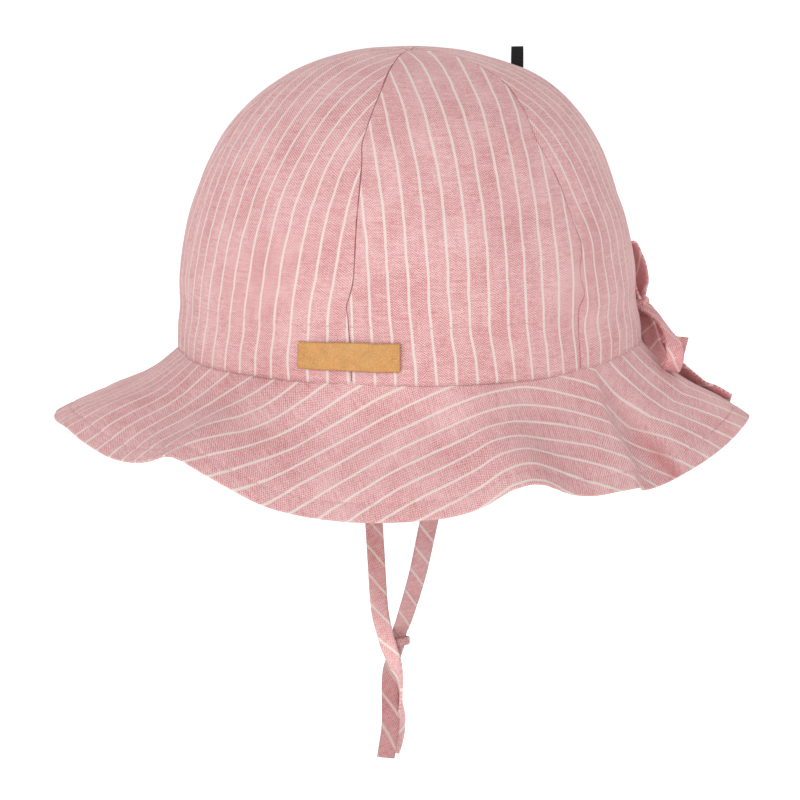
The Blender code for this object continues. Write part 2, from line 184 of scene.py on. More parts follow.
# The hem, and the rows of cloth across it as shares of its depth
HEM_DEPTH = 0.0060
HEM_ROWS = np.array([0, 0.02, 0.08, 0.21, 0.4, 0.6, 0.85, 0.94, 1, 1.06, 1.15])
HEM_STEP = 0.0004  # over which the doubled cloth thins to one layer
HEM_GROOVE = 0.00024  # how deep its stitches draw the cloth in
HEM_GROOVE_SPREAD = 0.0007
HEM_SHADE_AZIMUTH = 158  # the painted shade along its seam shows most here, and elsewhere it is fainter
HEM_SHADE_SPREAD = 14
HEM_SHADE_FADE = 0.00027
PUCKER_DEPTH = 0.00010
PUCKER_COUNT = 150
PUCKER_STRAY = 3
PUCKER_STRAY_SIZE = 0.02
PUCKER_SPREAD = 0.004

# Azimuth and slope are in degrees, the slope below the horizontal. Sag is a share of the brim's width.
BrimFold = namedtuple("BrimFold", "azimuth slope sag")
BRIM_FOLDS = [BrimFold(*row) for row in (
    (-15, 28, 0.035), (0, 25, 0.035), (6, 24, 0.035), (13, 27.5, 0.035), (22, 32, 0.035), (30, 29, 0.035),
    (37, 24, 0.035), (45, 36, 0.035), (52, 49, 0.035), (65, 57, 0.035), (80, 54, 0.035), (86, 47, 0.035),
    (91, 36, 0.035), (96, 34, 0.035), (103, 43, 0.035), (112, 48, 0.035), (124, 52, 0.035), (134, 48.5, 0.040),
    (144, 44, 0.048), (151, 37.5, 0.058), (158, 34, 0.072), (167, 37, 0.072), (178, 45, 0.065), (190, 42, 0.060),
    (202, 31, 0.040), (214, 31, 0.035), (228, 46, 0.035), (245, 50, 0.035), (258, 40, 0.035), (267, 33, 0.035),
    (280, 46, 0.035), (296, 56, 0.035), (312, 47, 0.035), (324, 33.5, 0.035), (336, 31.5, 0.035),
)]

# How far the stripes stray on the brim, in millimetres across the cloth: at the seam, halfway and at the hem
BrimStripe = namedtuple("BrimStripe", "azimuth seam middle hem")
BRIM_STRIPES = [BrimStripe(*row) for row in (
    (-60, 0, 0, 0), (-30, 4, 3, 1), (-5, 9, 7, 3), (12, 9.1, 6.2, 2.6), (25, 4.9, 3.9, -0.3),
    (38, 0.1, -2.3, -4.0), (50, -1.3, -2.1, -3.9), (62, -2.2, -2.2, -3.1), (75, -2.0, -1.2, -1.4),
    (90, 0.8, 1.6, 0.1), (102, 3.4, 3.3, -0.7), (112, 2.4, 2.7, -2.3), (120, 1.6, 0.8, -3.8),
    (130, 0.3, -0.6, -3.7), (145, -1.4, 1.4, 0.8), (165, -2.8, 1.1, 4.2), (195, 0, 0, 0),
)]

# Stitches: how even their lengths are, how flat the thread is, and how far those of the hem and of the casing
# stand out, as a share of the thread
STITCH_SHORTEST = 0.88
STITCH_LONGEST = 1.08
STITCH_FLATNESS = 0.8
STITCH_LINE_POINTS = 1441
HEM_STITCH_RISE = 0.12
CASING_STITCH_RISE = 0.02

# Patch
PATCH_LENGTH = 0.035
PATCH_HEIGHT = 0.0098
PATCH_WALL = 0.0010
PATCH_STOCK = 0.72 * PATCH_WALL
PATCH_AZIMUTH = 60
PATCH_FOOT = 0.0043
PATCH_FOOT_TRIM = 0.0002  # how much higher its foot is than the solid's
PATCH_TRIM = 0.0006  # and how much less high it is in all
PATCH_SLANT = 0.0007  # how much lower its top is at the front end
PATCH_WAVE = 0.0003
PATCH_WAVE_SIZE = 0.007
PATCH_WAVE_DRIFT = 0.02  # how far the wave differs between the patch's foot and its top
PATCH_SHIFT = 0.4  # degrees towards the back
PATCH_ROWS = 29
PATCH_COLUMNS = 81
PATCH_END_DIP = 0.00022
PATCH_END_SPREAD = 0.0016
PATCH_EDGE_DIP = 0.00018
PATCH_EDGE_SPREAD = 0.0006
PATCH_LUMPS = 0.00022
PATCH_LUMP_SIZE = 0.0045

# The stitch that tacks each end of the patch, and the dent that it makes
TACK_REACH = 0.0150  # from the patch's middle
TACK_SHARE = 0.45  # of the patch's height
TACK_LENGTH = 0.0016
TACK_SLOPE = 0.4
TACK_SINK = 0.0002
TACK_DIP = 0.0005
TACK_DIP_LENGTH = 0.0014
TACK_DIP_HEIGHT = 0.0009

# Tag
TAG_WIDTH = 0.0041
TAG_RISE = 0.0066
TAG_WALL = 0.0012
TAG_TAPE = 0.00035
TAG_RADIUS = 0.038
TAG_ROWS = 41
TAG_COLUMNS = 13
TAG_PINCH = 0.35  # how much of its thickness the fold at its top loses

# Ties
TIE_WIDTH = 0.0062
TIE_WALL = 0.0012
TIE_SECTIONS = 170
CHIN_DROP = 0.1033
TIE_PLANE_AZIMUTH = 75

# The turn of cloth round the left tie. Its place is across, toward and down, as in the tables of the ties.
WRAP_PLACE = (-0.050, -0.020, 1.018)
WRAP_ROWS = 13
WRAP_COLUMNS = 65
WRAP_REACH = 0.45 * TIE_WIDTH
WRAP_HEIGHT = 0.0026
WRAP_WALL = 0.0009
WRAP_CLOTH = 0.8 * WRAP_WALL
WRAP_SWELL = 0.30
WRAP_GROOVE = 0.18
WRAP_SLANT = 0.15
SMALL_RIM = 0.0002  # how far the edges of the turn and of the patch bulge

# Bow
BAND_WIDTH = 0.0062
BAND_WALL = 0.0012
BOW_HEIGHT = 0.0109
BOW_LOOP = 0.044
BOW_KNOT = 0.0062
KNOT_SQUARENESS = 0.62  # 1 would be round, and less is squarer
KNOT_CREASE = 0.06
KNOT_TUCK = 0.05
KNOT_TUCK_SPREAD = 0.16
KNOT_ROWS = 33
KNOT_COLUMNS = 65
LOOP_END = 0.06  # the share of a loop at each end that is drawn on into the knot
LOOP_DRAW = 0.55

# A folded tape: the hollow along its middle and how much thinner it is at its edges, as shares of its wall
TAPE_COLUMNS = 9
TAPE_HOLLOW = 0.16
TAPE_HOLLOW_SPREAD = 0.35
TAPE_EDGE = 0.30
TAPE_INSET = 0.044
TAPE_CREASE = 0.07
TAPE_CREASE_SIZE = 0.006

# Across and toward are shares of the crown's radius, down of the chin drop and width of the tie's width. Turn is
# in degrees about the tie's own run.
TiePoint = namedtuple("TiePoint", "across toward down width turn")
LEFT_TIE = [TiePoint(*row) for row in (
    (0.247, 0.921, -0.060, 1.00, 0), (0.244, 0.915, 0.030, 1.00, 0), (0.172, 0.740, 0.215, 1.00, 0),
    (0.092, 0.480, 0.480, 1.00, 0), (0.034, 0.235, 0.735, 0.96, 0), (-0.022, 0.050, 0.920, 0.88, 0),
    (-0.046, -0.018, 0.985, 0.80, 0), (-0.052, -0.020, 1.025, 0.76, 0), (-0.070, -0.022, 1.070, 0.76, 0),
    (-0.085, -0.018, 1.120, 0.88, 5), (-0.086, -0.006, 1.180, 0.98, 0), (-0.084, 0.002, 1.250, 1.00, -5),
    (-0.087, 0.006, 1.320, 1.00, -8), (-0.106, 0.004, 1.418, 1.00, -12),
)]
RIGHT_TIE = [TiePoint(*row) for row in (
    (-0.247, -0.921, -0.060, 1.00, 0), (-0.240, -0.915, 0.030, 1.00, 0), (-0.205, -0.740, 0.230, 1.00, 0),
    (-0.176, -0.480, 0.490, 1.00, 0), (-0.152, -0.235, 0.730, 1.00, 0), (-0.134, -0.045, 0.900, 0.98, 0),
    (-0.112, 0.012, 0.975, 0.92, 0), (-0.094, 0.020, 1.025, 0.90, 10), (-0.068, 0.028, 1.080, 0.84, 30),
    (-0.050, 0.032, 1.130, 0.80, 60), (-0.041, 0.012, 1.185, 0.78, 84), (-0.041, -0.016, 1.245, 0.80, 98),
    (-0.044, -0.046, 1.305, 0.84, 130), (-0.066, -0.044, 1.365, 0.96, 164), (-0.084, -0.038, 1.405, 1.00, 172),
)]

# Out from the crown, up and to the wearer's left, in shares of the bow's loop from the middle of its knot. Turn
# is in degrees about the tape's own run.
BowPoint = namedtuple("BowPoint", "out up left turn")
LOWER_LOOP = [BowPoint(*row) for row in (
    (0.013, -0.023, 0.080, 0), (0.007, -0.055, 0.323, -22), (-0.007, -0.086, 0.577, -34),
    (-0.020, -0.125, 0.784, -30), (-0.036, -0.180, 0.923, -12), (-0.050, -0.269, 0.989, 4),
    (-0.060, -0.376, 0.905, 14), (-0.060, -0.328, 0.720, 10), (-0.064, -0.240, 0.489, 0),
    (-0.026, -0.157, 0.264, 0), (0.000, -0.084, 0.080, 0),
)]
UPPER_LOOP = [BowPoint(*row) for row in (
    (0.000, 0.080, 0.000, 0), (0.012, 0.182, -0.011, 25), (-0.008, 0.307, -0.034, 35),
    (-0.046, 0.420, -0.057, 32), (-0.070, 0.473, -0.068, 20), (-0.089, 0.418, -0.064, 0),
    (-0.080, 0.295, -0.034, 0), (-0.070, 0.182, -0.011, 0), (-0.050, 0.080, 0.000, 0),
)]
SHORT_TAIL = [BowPoint(*row) for row in (
    (0.088, -0.060, 0.000, 0), (0.170, -0.210, -0.010, -20), (0.265, -0.325, -0.010, -60),
    (0.385, -0.357, 0.000, -86),
)]
LONG_TAIL = [BowPoint(*row) for row in (
    (0.040, -0.170, -0.040, 0), (0.141, -0.336, 0.150, -10), (0.189, -0.442, 0.360, -24),
    (0.302, -0.560, 0.566, -30), (0.393, -0.605, 0.661, -32), (0.498, -0.668, 0.736, -30),
)]

# Where the stripes run on each cloth
BRIM_STRIPE_AZIMUTH = 96  # the stripes lie along the seam here
BRIM_STRIPE_PHASE = 0.00564
BIAS_ANGLE = 35  # degrees between the stripes and the run of a tie

# The weave shows as two fine slanting ribs. Each is how fast its rib repeats across and along the cloth.
RISING_SLANT = (0.543, 0.840)
FALLING_SLANT = (0.860, -0.762)

# The deep pink of the painted shade at a seam, along the hem's stitches and in the dip behind the fold
SEAM_SHADE = (0.42, 0.10, 0.11)

# Painted light and shade: what the linen's red, green and blue are multiplied by on the ties and the bow
# The left tie gets painted shade, the right tie painted light and the bow a painted reddish shade
LEFT_TIE_PAINTED_SHADE = (0.75, 0.70, 0.70)
RIGHT_TIE_PAINTED_LIGHT = (1.10, 1.15, 1.15)
BOW_PAINTED_SHADE = (1.06, 0.90, 0.92)
TIE_CONTRAST = 0.6  # how strongly the weave shows on the ties

# Camera, lights and floor. A light's place is in metres towards the camera, to the camera's right and up.
CAMERA_AZIMUTH = 75
CAMERA_ELEVATION = 9.5
CAMERA_DISTANCE = 1.3
CAMERA_LENS = 170.06
CAMERA_SENSOR = 36
CAMERA_SHIFT = (-0.0125, -0.069)
Light = namedtuple("Light", "name toward right up size watts")
LIGHTS = [Light(*row) for row in (
    ("key", 1.6, -1.0, 0.75, 0.9, 15), ("fill", 1.2, 1.1, 0.3, 1.4, 4.5), ("back", -1.3, 0.3, 1.2, 1.2, 6),
)]
LIGHT_AIM = Vector((0, 0, 0.02))
SKY_STRENGTH = 0.67
FLOOR_HEIGHT = -0.175
FLOOR_SIZE = 12.0
FLOOR_GLOW = 0.42  # the light that the floor gives by itself

# What all lengths, and all colours, that a user can change have in common
LENGTH = {"unit": "LENGTH", "precision": 5}
COLOUR = {"subtype": "COLOR", "size": 3, "min": 0, "max": 1}


class SunHatSizes(bpy.types.PropertyGroup):
    stripe_pitch: FloatProperty(
        name="Stripe Pitch", description="Distance from one cream stripe to the next",
        default=0.00663, min=0.002, max=0.03, **LENGTH,
    )
    stripe_width: FloatProperty(
        name="Stripe Width", description="Width of a cream stripe",
        default=0.00080, min=0.0002, max=0.01, **LENGTH,
    )
    thread_pitch: FloatProperty(
        name="Weave Pitch", description="Distance over which the weave repeats",
        default=0.000646, min=0.0002, max=0.003, **LENGTH,
    )
    stitch_pitch: FloatProperty(
        name="Stitch Pitch", description="Distance from one stitch to the next",
        default=0.0029, min=0.001, max=0.01, **LENGTH,
    )
    sewing_thread: FloatProperty(
        name="Sewing Thread", description="Width of the sewing thread",
        default=0.00036, min=0.0001, max=0.002, **LENGTH,
    )
    crease_depth: FloatProperty(
        name="Crease Depth", description="Height of the soft creases in the cloth",
        default=0.00056, min=0.0, max=0.002, **LENGTH,
    )


class SunHatColours(bpy.types.PropertyGroup):
    deep_pink: FloatVectorProperty(
        name="Deep Pink", description="The darker thread of the linen",
        default=(0.470, 0.150, 0.158), **COLOUR,
    )
    pale_pink: FloatVectorProperty(
        name="Pale Pink", description="The lighter thread of the linen",
        default=(0.77, 0.535, 0.525), **COLOUR,
    )
    cream: FloatVectorProperty(
        name="Cream", description="The stripes",
        default=(0.70, 0.615, 0.565), **COLOUR,
    )
    tan: FloatVectorProperty(
        name="Tan", description="The patch over the seam",
        default=(0.52, 0.262, 0.084), **COLOUR,
    )
    black: FloatVectorProperty(
        name="Black", description="The woven tag",
        default=(0.006, 0.006, 0.0065), **COLOUR,
    )
    sewing_thread: FloatVectorProperty(
        name="Sewing Thread", description="The thread that the hat is sewn with",
        default=(0.66, 0.36, 0.36), **COLOUR,
    )
    floor: FloatVectorProperty(
        name="Floor", description="The floor under the hat",
        default=(0.93, 0.93, 0.93), **COLOUR,
    )


class Shade:
    """A value that varies over a surface: a node's output that takes Python's own operators."""

    def __init__(self, dye, socket):
        self.dye = dye
        self.socket = socket

    def math(self, operation, *values):
        return self.dye.node("ShaderNodeMath", {"operation": operation}, dict(enumerate(values)))

    def __add__(self, other):
        return self.math("ADD", self, other)

    def __radd__(self, other):
        return self.math("ADD", other, self)

    def __sub__(self, other):
        return self.math("SUBTRACT", self, other)

    def __rsub__(self, other):
        return self.math("SUBTRACT", other, self)

    def __mul__(self, other):
        return self.math("MULTIPLY", self, other)

    def __rmul__(self, other):
        return self.math("MULTIPLY", other, self)

    def __truediv__(self, other):
        return self.math("DIVIDE", self, other)

    def __abs__(self):
        return self.math("ABSOLUTE", self)

    def sine(self):
        return self.math("SINE", self)

    def fraction(self):
        return self.math("FRACT", self)

    def at_most(self, other):
        return self.math("MINIMUM", self, other)

    def at_least(self, other):
        return self.math("MAXIMUM", self, other)

    def eased(self, start, end):
        """0 at start and 1 at end, with a soft step between them."""
        return self.dye.node(
            "ShaderNodeMapRange", {"interpolation_type": "SMOOTHSTEP"},
            {"Value": self, "From Min": start, "From Max": end, "To Min": 0.0, "To Max": 1.0},
        )


class Dye:
    """A material in the making. Its node method adds one node and returns one of its outputs."""

    def __init__(self, name, roughness=0.8, sheen=0.0, specular=0.5):
        self.material = bpy.data.materials.new(name)
        self.material.use_nodes = True
        self.tree = self.material.node_tree
        self.shader = self.tree.nodes["Principled BSDF"]
        self.shader.inputs["Roughness"].default_value = roughness
        self.shader.inputs["Sheen Weight"].default_value = sheen
        self.shader.inputs["Sheen Roughness"].default_value = 0.6
        self.shader.inputs["Specular IOR Level"].default_value = specular

    def node(self, kind, settings=None, values=None, output=0):
        made = self.tree.nodes.new(kind)
        for name, value in (settings or {}).items():
            setattr(made, name, value)
        for name, value in (values or {}).items():
            socket = made.inputs[name]
            if isinstance(value, Shade):
                self.tree.links.new(value.socket, socket)
            else:
                socket.default_value = (*value, 1) if socket.type == "RGBA" else value
        return Shade(self, made.outputs[output])

    def place(self):
        """Where a point is in the hat's own frame, in millimetres."""
        found = self.node("ShaderNodeTexCoord", output="Object")
        return self.node("ShaderNodeVectorMath", {"operation": "SCALE"}, {"Vector": found, "Scale": MM})

    def cloth_place(self):
        """Across and along the cloth, in millimetres."""
        found = self.node("ShaderNodeUVMap", {"uv_map": "cloth"})
        across = self.node("ShaderNodeSeparateXYZ", values={"Vector": found}, output="X")
        along = self.node("ShaderNodeSeparateXYZ", values={"Vector": found}, output="Y")
        return across * MM, along * MM

    def vector(self, x, y, z=0.0):
        return self.node("ShaderNodeCombineXYZ", values={"X": x, "Y": y, "Z": z})

    def cloud(self, place, scale, detail=2.0, roughness=0.5):
        """Smooth noise from 0 to 1, with a middle of about a half."""
        return self.node(
            "ShaderNodeTexNoise", {"noise_dimensions": "3D"},
            {"Vector": place, "Scale": scale, "Detail": detail, "Roughness": roughness}, output="Fac",
        )

    def attribute(self, name):
        """A number that the mesh holds for each of its points. It is 0 on a mesh that hasn't got it."""
        return self.node("ShaderNodeAttribute", {"attribute_name": name}, output="Fac")

    def mix(self, factor, first, second):
        """A blend of two colours."""
        return self.node("ShaderNodeMix", {"data_type": "RGBA"}, {0: factor, 6: first, 7: second}, output=2)

    def paint(self, colour):
        if isinstance(colour, Shade):
            self.tree.links.new(colour.socket, self.shader.inputs["Base Color"])
        else:
            self.shader.inputs["Base Color"].default_value = (*colour, 1)

    def roughen(self, amount):
        self.tree.links.new(amount.socket, self.shader.inputs["Roughness"])

    def emboss(self, height, distance, strength=1.0):
        """Height from 0 to 1 becomes relief of that distance, in metres."""
        bump = self.node("ShaderNodeBump", values={"Strength": strength, "Distance": distance, "Height": height})
        self.tree.links.new(bump.socket, self.shader.inputs["Normal"])


def sizes():
    return bpy.context.scene.sun_hat_sizes


def colours():
    return bpy.context.scene.sun_hat_colours


def linen(name, phase=0.0, bias=None, contrast=1.0, depth=(1, 1, 1), seamed=False):
    """Striped pink linen. With a bias, the stripes lie at that angle, in degrees, to the run of the cloth. Depth
    holds what each colour's red, green and blue are multiplied by, which paints light and shade on the ties and
    the bow. Seamed cloth is darkened with painted shade where the mesh's attribute from_seam says that a seam or a
    line of stitches is near, and in the dip behind the brim's fold, where the mesh's attribute for that says so."""
    dye = Dye(name, sheen=0.12, specular=0.2)
    across, along = dye.cloth_place()
    if bias is not None:
        angle = math.radians(bias)
        across, along = (
            across * math.cos(angle) + along * math.sin(angle),
            along * math.cos(angle) - across * math.sin(angle),
        )
    size, tone = sizes(), colours()
    pitch = size.stripe_pitch * MM
    place = dye.place()

    strays = dye.cloud(dye.vector(across * 0.25, along * 0.10), 1.0, 3.0) - 0.5
    strays = strays + (dye.cloud(dye.vector(across * 0.8, along * 0.7), 1.0, 2.0) - 0.5) * 0.55
    turn = 2 * math.pi / (size.thread_pitch * MM)
    rising = ((across * RISING_SLANT[0] + along * RISING_SLANT[1] + strays * 0.75) * turn).sine()
    falling = ((across * FALLING_SLANT[0] + along * FALLING_SLANT[1] + strays * 0.75) * turn).sine()
    weave = (rising + falling) * 0.5
    grain = dye.cloud(dye.vector(across, along), 1.9, 2.0) - 0.5
    weft_slub = dye.cloud(dye.vector(across * 0.12, along * 2.3), 1.0, 2.0, 0.6) - 0.5
    warp_slub = dye.cloud(dye.vector(across * 1.9, along * 0.07), 1.0, 2.0, 0.6) - 0.5
    patches = dye.cloud(place, 0.075, 2.0) - 0.5
    blotches = dye.cloud(dye.vector(across * 0.45, along * 0.75), 1.0, 2.0) - 0.5
    tint = weave * (0.54 * contrast) + grain * (1.00 * contrast)
    tint = tint + weft_slub * 0.80 + warp_slub * 0.35 + blotches * 0.48 + patches * 0.62 + 0.5
    tint = tint.at_least(0.0).at_most(1.0)
    # Depth paints light and shade into each of the linen's colours, on the ties and the bow
    deep, pale, cream = ([c * d for c, d in zip(t, depth)] for t in (tone.deep_pink, tone.pale_pink, tone.cream))
    pink = dye.mix(tint, deep, pale)

    wander = dye.cloud(dye.vector(across * 0.12, along * 0.16), 1.0, 2.0) - 0.5
    fray = dye.cloud(dye.vector(across * 2.2, along * 2.4), 1.0, 1.0) - 0.5
    nearest = abs(((across - phase * MM + wander * 0.5) / pitch + 0.5).fraction() - 0.5) * pitch
    half = size.stripe_width * MM / 2
    stripe = 1 - (nearest + fray * 0.22).eased(half - 0.10, half + 0.16)
    faded = dye.cloud(dye.vector(across * 0.3, along * 0.08), 1.0, 2.0)
    strength = (weave * 0.10 + faded * 0.25 + 0.76).at_most(1.0)
    cloth = dye.mix(stripe * strength, pink, cream)
    # Painted shade: the cloth darkens towards SEAM_SHADE at seams and stitch lines, and in the dip behind the fold
    if seamed:
        painted_seam_shade = 1 - (dye.attribute("from_seam") * MM).eased(0.05, 0.42)
        uneven = dye.cloud(place, 0.11, 2.0).eased(0.42, 0.66) * 0.6 + 0.08
        cloth = dye.mix((painted_seam_shade * uneven).at_least(dye.attribute("painted_dip_shade")), cloth, SEAM_SHADE)
    dye.paint(cloth)

    relief = weave * 0.5 + weft_slub * 0.9 + warp_slub * 0.6 + stripe * 0.35 + grain * 0.6 + 0.5
    dye.emboss(relief, 0.00010, 0.75)
    dye.roughen(grain * 0.18 + 0.84)
    return dye.material


def patch_leather():
    """Smooth tan stock, with a fine grain, faint mottling and edges rubbed darker."""
    dye = Dye("patch_tan", roughness=0.6, specular=0.35)
    place = dye.place()
    across, along = dye.cloth_place()
    grain = dye.cloud(place, 2.6, 4.0, 0.65) - 0.5
    mottle = dye.cloud(place, 0.35, 3.0) - 0.5
    tone = colours().tan
    body = dye.mix((grain * 2.2 + mottle * 0.6 + 0.5).at_least(0.0).at_most(1.0),
                   [c * 0.70 for c in tone], [min(1.0, c * 1.32) for c in tone])
    side = (abs(across) - (PATCH_LENGTH / 2 * MM - 0.5)).eased(0.0, 0.5)
    end = (abs(along) - (PATCH_HEIGHT / 2 * MM - 0.45)).eased(0.0, 0.45)
    rubbed = side.at_least(end)
    dye.paint(dye.mix(rubbed * 0.16, body, [c * 0.62 for c in tone]))
    dye.emboss(grain * 0.7 + mottle * 0.3 + 0.5, 0.00012, 0.6)
    dye.roughen(grain * 0.3 + 0.55)
    return dye.material


def patch_thread():
    """Plain thread, paler than the patch that it tacks down."""
    dye = Dye("patch_thread", roughness=0.7)
    dye.paint([min(1.0, c * 1.45) for c in colours().tan])
    return dye.material


def tag_tape():
    """Black woven tape with a fine rib across it."""
    dye = Dye("tag_black", roughness=0.85, specular=0.12)
    across, along = dye.cloth_place()
    rib = (along * (2 * math.pi / 0.28)).sine() * (across * (2 * math.pi / 0.34)).sine()
    lint = dye.cloud(dye.place(), 1.6, 3.0) - 0.5
    tone = colours().black
    dye.paint(dye.mix((rib * 0.25 + lint * 0.8 + 0.4).at_least(0.0).at_most(1.0),
                      tone, [c * 3.2 + 0.006 for c in tone]))
    dye.emboss(rib * 0.5 + 0.5, 0.00006, 0.6)
    dye.roughen(lint * 0.2 + 0.72)
    return dye.material


def sewing_thread():
    """Twisted thread, a little worn in places."""
    dye = Dye("sewing_thread", roughness=0.7, sheen=0.1, specular=0.3)
    place = dye.place()
    ply = dye.node("ShaderNodeTexWave", {"wave_type": "BANDS", "bands_direction": "DIAGONAL"},
                   {"Vector": place, "Scale": 3.0, "Distortion": 1.0}, output="Fac")
    worn = dye.cloud(place, 0.2, 2.0)
    tone = colours().sewing_thread
    shaded = dye.mix(ply * 0.45, tone, [c * 0.55 for c in tone])
    dye.paint(dye.mix(worn * 0.35, shaded, colours().pale_pink))
    dye.emboss(ply, 0.00004, 0.6)
    return dye.material


def floor_paper():
    """Plain pale floor, with a trace of tone so that it isn't one flat colour."""
    dye = Dye("floor_pale", roughness=0.9, specular=0.1)
    tone = colours().floor
    dye.paint(dye.mix(dye.cloud(dye.place(), 0.002, 2.0) * 0.5, tone, [c * 0.985 for c in tone]))
    dye.shader.inputs["Emission Color"].default_value = (1, 1, 1, 1)
    dye.shader.inputs["Emission Strength"].default_value = FLOOR_GLOW
    return dye.material


def direction(azimuth):
    """Horizontal unit vectors that point out from the head at azimuths."""
    angle = np.radians(azimuth)
    return np.stack([np.sin(angle), -np.cos(angle), np.zeros_like(angle)], -1)


def smooth_through(rows, places, at, period=None):
    """Each column of rows, read at places between them on a smooth curve that passes through every row."""
    rows, places, at = (np.asarray(x, float) for x in (rows, places, at))
    if period:
        at = places[0] + (at - places[0]) % period
        rows = np.concatenate([rows[-1:], rows, rows[:2]])
        places = np.concatenate([places[-1:] - period, places, places[:2] + period])
    else:
        rows = np.concatenate([rows[:1], rows, rows[-1:]])
        places = np.concatenate([places[:1], places, places[-1:]])
    i = np.clip(np.searchsorted(places, at, side="right") - 1, 1, len(places) - 3)
    x0, x1, x2, x3 = (places[i + k][..., None] for k in (-1, 0, 1, 2))
    before, start, end, after = (rows[i + k] for k in (-1, 0, 1, 2))
    t = (at[..., None] - x1) / (x2 - x1)
    leaving = (end - before) / (x2 - x0) * (x2 - x1)
    arriving = (after - start) / (x3 - x1) * (x2 - x1)
    weights = (2 * t**3 - 3 * t**2 + 1, t**3 - 2 * t**2 + t, 3 * t**2 - 2 * t**3, t**3 - t**2)
    return sum(w * v for w, v in zip(weights, (start, leaving, end, arriving)))


def off_azimuth(azimuth, middle):
    """Signed degrees from a middle azimuth, by the short way round."""
    return (azimuth - middle + 180) % 360 - 180


def bell(offset, spread):
    """A smooth bump, 1 at its middle and 0 far from it."""
    return np.exp(-((offset / spread) ** 2))


def unit(vectors):
    return vectors / np.maximum(np.linalg.norm(vectors, axis=-1, keepdims=True), 1e-12)


def table_at(rows, at, period=None):
    """A table's columns after its first, at values of the first, on a smooth curve through its rows."""
    return smooth_through([row[1:] for row in rows], [row[0] for row in rows], at, period)


def through_three(values, side):
    """A parabola through three values, which stand at -1, 0 and 1."""
    before, middle, after = (values[..., k] for k in range(3))
    return before * side * (side - 1) / 2 + middle * (1 - side**2) + after * side * (side + 1) / 2


def noise_at(points, size, seed):
    """Smooth noise from about -1 to 1 at each point, in lumps of a size in metres."""
    shift = Vector((seed * 7.3, seed * 3.1, seed * 5.7))
    flat = points.reshape(-1, 3) / size
    found = [noise.noise(Vector(p) + shift) for p in flat]
    return np.array(found).reshape(points.shape[:-1])


def foot_height(azimuth):
    """Height of the crown's foot, which the bow's band pulls up beside the bow."""
    return PULL_HEIGHT * bell(off_azimuth(azimuth, PULL_AZIMUTH), PULL_SPREAD)


def crown_radius(height):
    """Radius of the crown over the middle of a gore, at a height above its foot."""
    share = np.clip(height / CROWN_HEIGHT, 0, 1)
    radius = CROWN_RADIUS * (1 - share**CROWN_SQUARENESS) ** (1 / CROWN_SQUARENESS)
    return radius - CASING_DIP * bell(height - CASING_HEIGHT, CASING_SPREAD)


def crown_height(radius):
    """Height of the crown over the middle of a gore, at a radius."""
    return CROWN_HEIGHT * (1 - (radius / CROWN_RADIUS) ** CROWN_SQUARENESS) ** (1 / CROWN_SQUARENESS)


def sway(azimuth, height):
    """Degrees by which the cloth goes with the two seams that lie off their meridians."""
    swayed = table_at(SEAM_SWAY, height * MM)
    return sum(swayed[..., number - 1] * bell(off_azimuth(azimuth, number * GORE_SPAN), SWAY_SPREAD)
               for number in (1, 2))


def stripe_run(number, side, height):
    """How far a gore's stripes stray across its cloth. Side runs from -1 to 1 over the gore."""
    if number >= len(STRIPE_RUNS):
        return np.zeros(np.broadcast(side, height).shape)
    return through_three(table_at(STRIPE_RUNS[number], height * MM) / MM, np.clip(side, -1, 1))


def crown_place(azimuth, share):
    """Points on the crown's outer face: share runs from its foot to its apex."""
    azimuth, share = np.broadcast_arrays(np.asarray(azimuth, float), np.asarray(share, float))
    angle = share * math.pi / 2
    height = CROWN_HEIGHT * np.sin(angle) ** (2 / CROWN_SQUARENESS)
    across = (azimuth * GORE_COUNT / 360) % 1
    dip = SEAM_DIP * (1 - np.sin(math.pi * across)) ** 2 * np.cos(angle)
    back = np.maximum(0, np.cos(np.radians(off_azimuth(azimuth, SLUMP_AZIMUTH)))) ** 2
    slump = SLUMP_DEPTH * back * bell(height - SLUMP_HEIGHT, SLUMP_SPREAD)
    dent = DENT_DEPTH * bell(off_azimuth(azimuth, DENT_AZIMUTH), DENT_AZIMUTH_SPREAD)
    dent = dent * bell(height - DENT_HEIGHT, DENT_HEIGHT_SPREAD)
    radius = crown_radius(height) - dip - slump - dent
    rise = foot_height(azimuth) * (1 - height / CROWN_HEIGHT)
    made = direction(azimuth + sway(azimuth, height)) * radius[..., None]
    made[..., 2] = height + rise
    return made


def creased(points, normals, strength=1.0):
    """The points moved along their normals into soft creases."""
    depth = sizes().crease_depth * strength
    soft = noise_at(points * np.array([1, 1, 0.7]), CREASE_SIZE, 1)
    soft = soft + FINE_CREASE_SHARE * noise_at(points, FINE_CREASE_SIZE, 2)
    return points + normals * (depth * soft)[..., None]


def brim_width(azimuth):
    """Width of the brim, which is widest at the front."""
    half = (1 + np.cos(np.radians(azimuth))) / 2
    return BRIM_BACK_WIDTH + (BRIM_FRONT_WIDTH - BRIM_BACK_WIDTH) * half


def fold_edge(share):
    """Azimuth of the fold's edge, which slants from the seam to the hem."""
    return FOLD_SEAM_AZIMUTH + (FOLD_HEM_AZIMUTH - FOLD_SEAM_AZIMUTH) * share


def brim_fold(azimuth, share):
    """How far the sharp fold at the wearer's left lifts the brim, along its own normal."""
    past = off_azimuth(azimuth, fold_edge(share))
    rising, falling = 1 + past / FOLD_RISE, 1 - past / FOLD_DROP
    height = np.clip(np.where(past < 0, rising, falling), 0, 1)
    return FOLD_HEIGHT * height * height * (3 - 2 * height) * np.sqrt(np.clip(share, 0, 1))


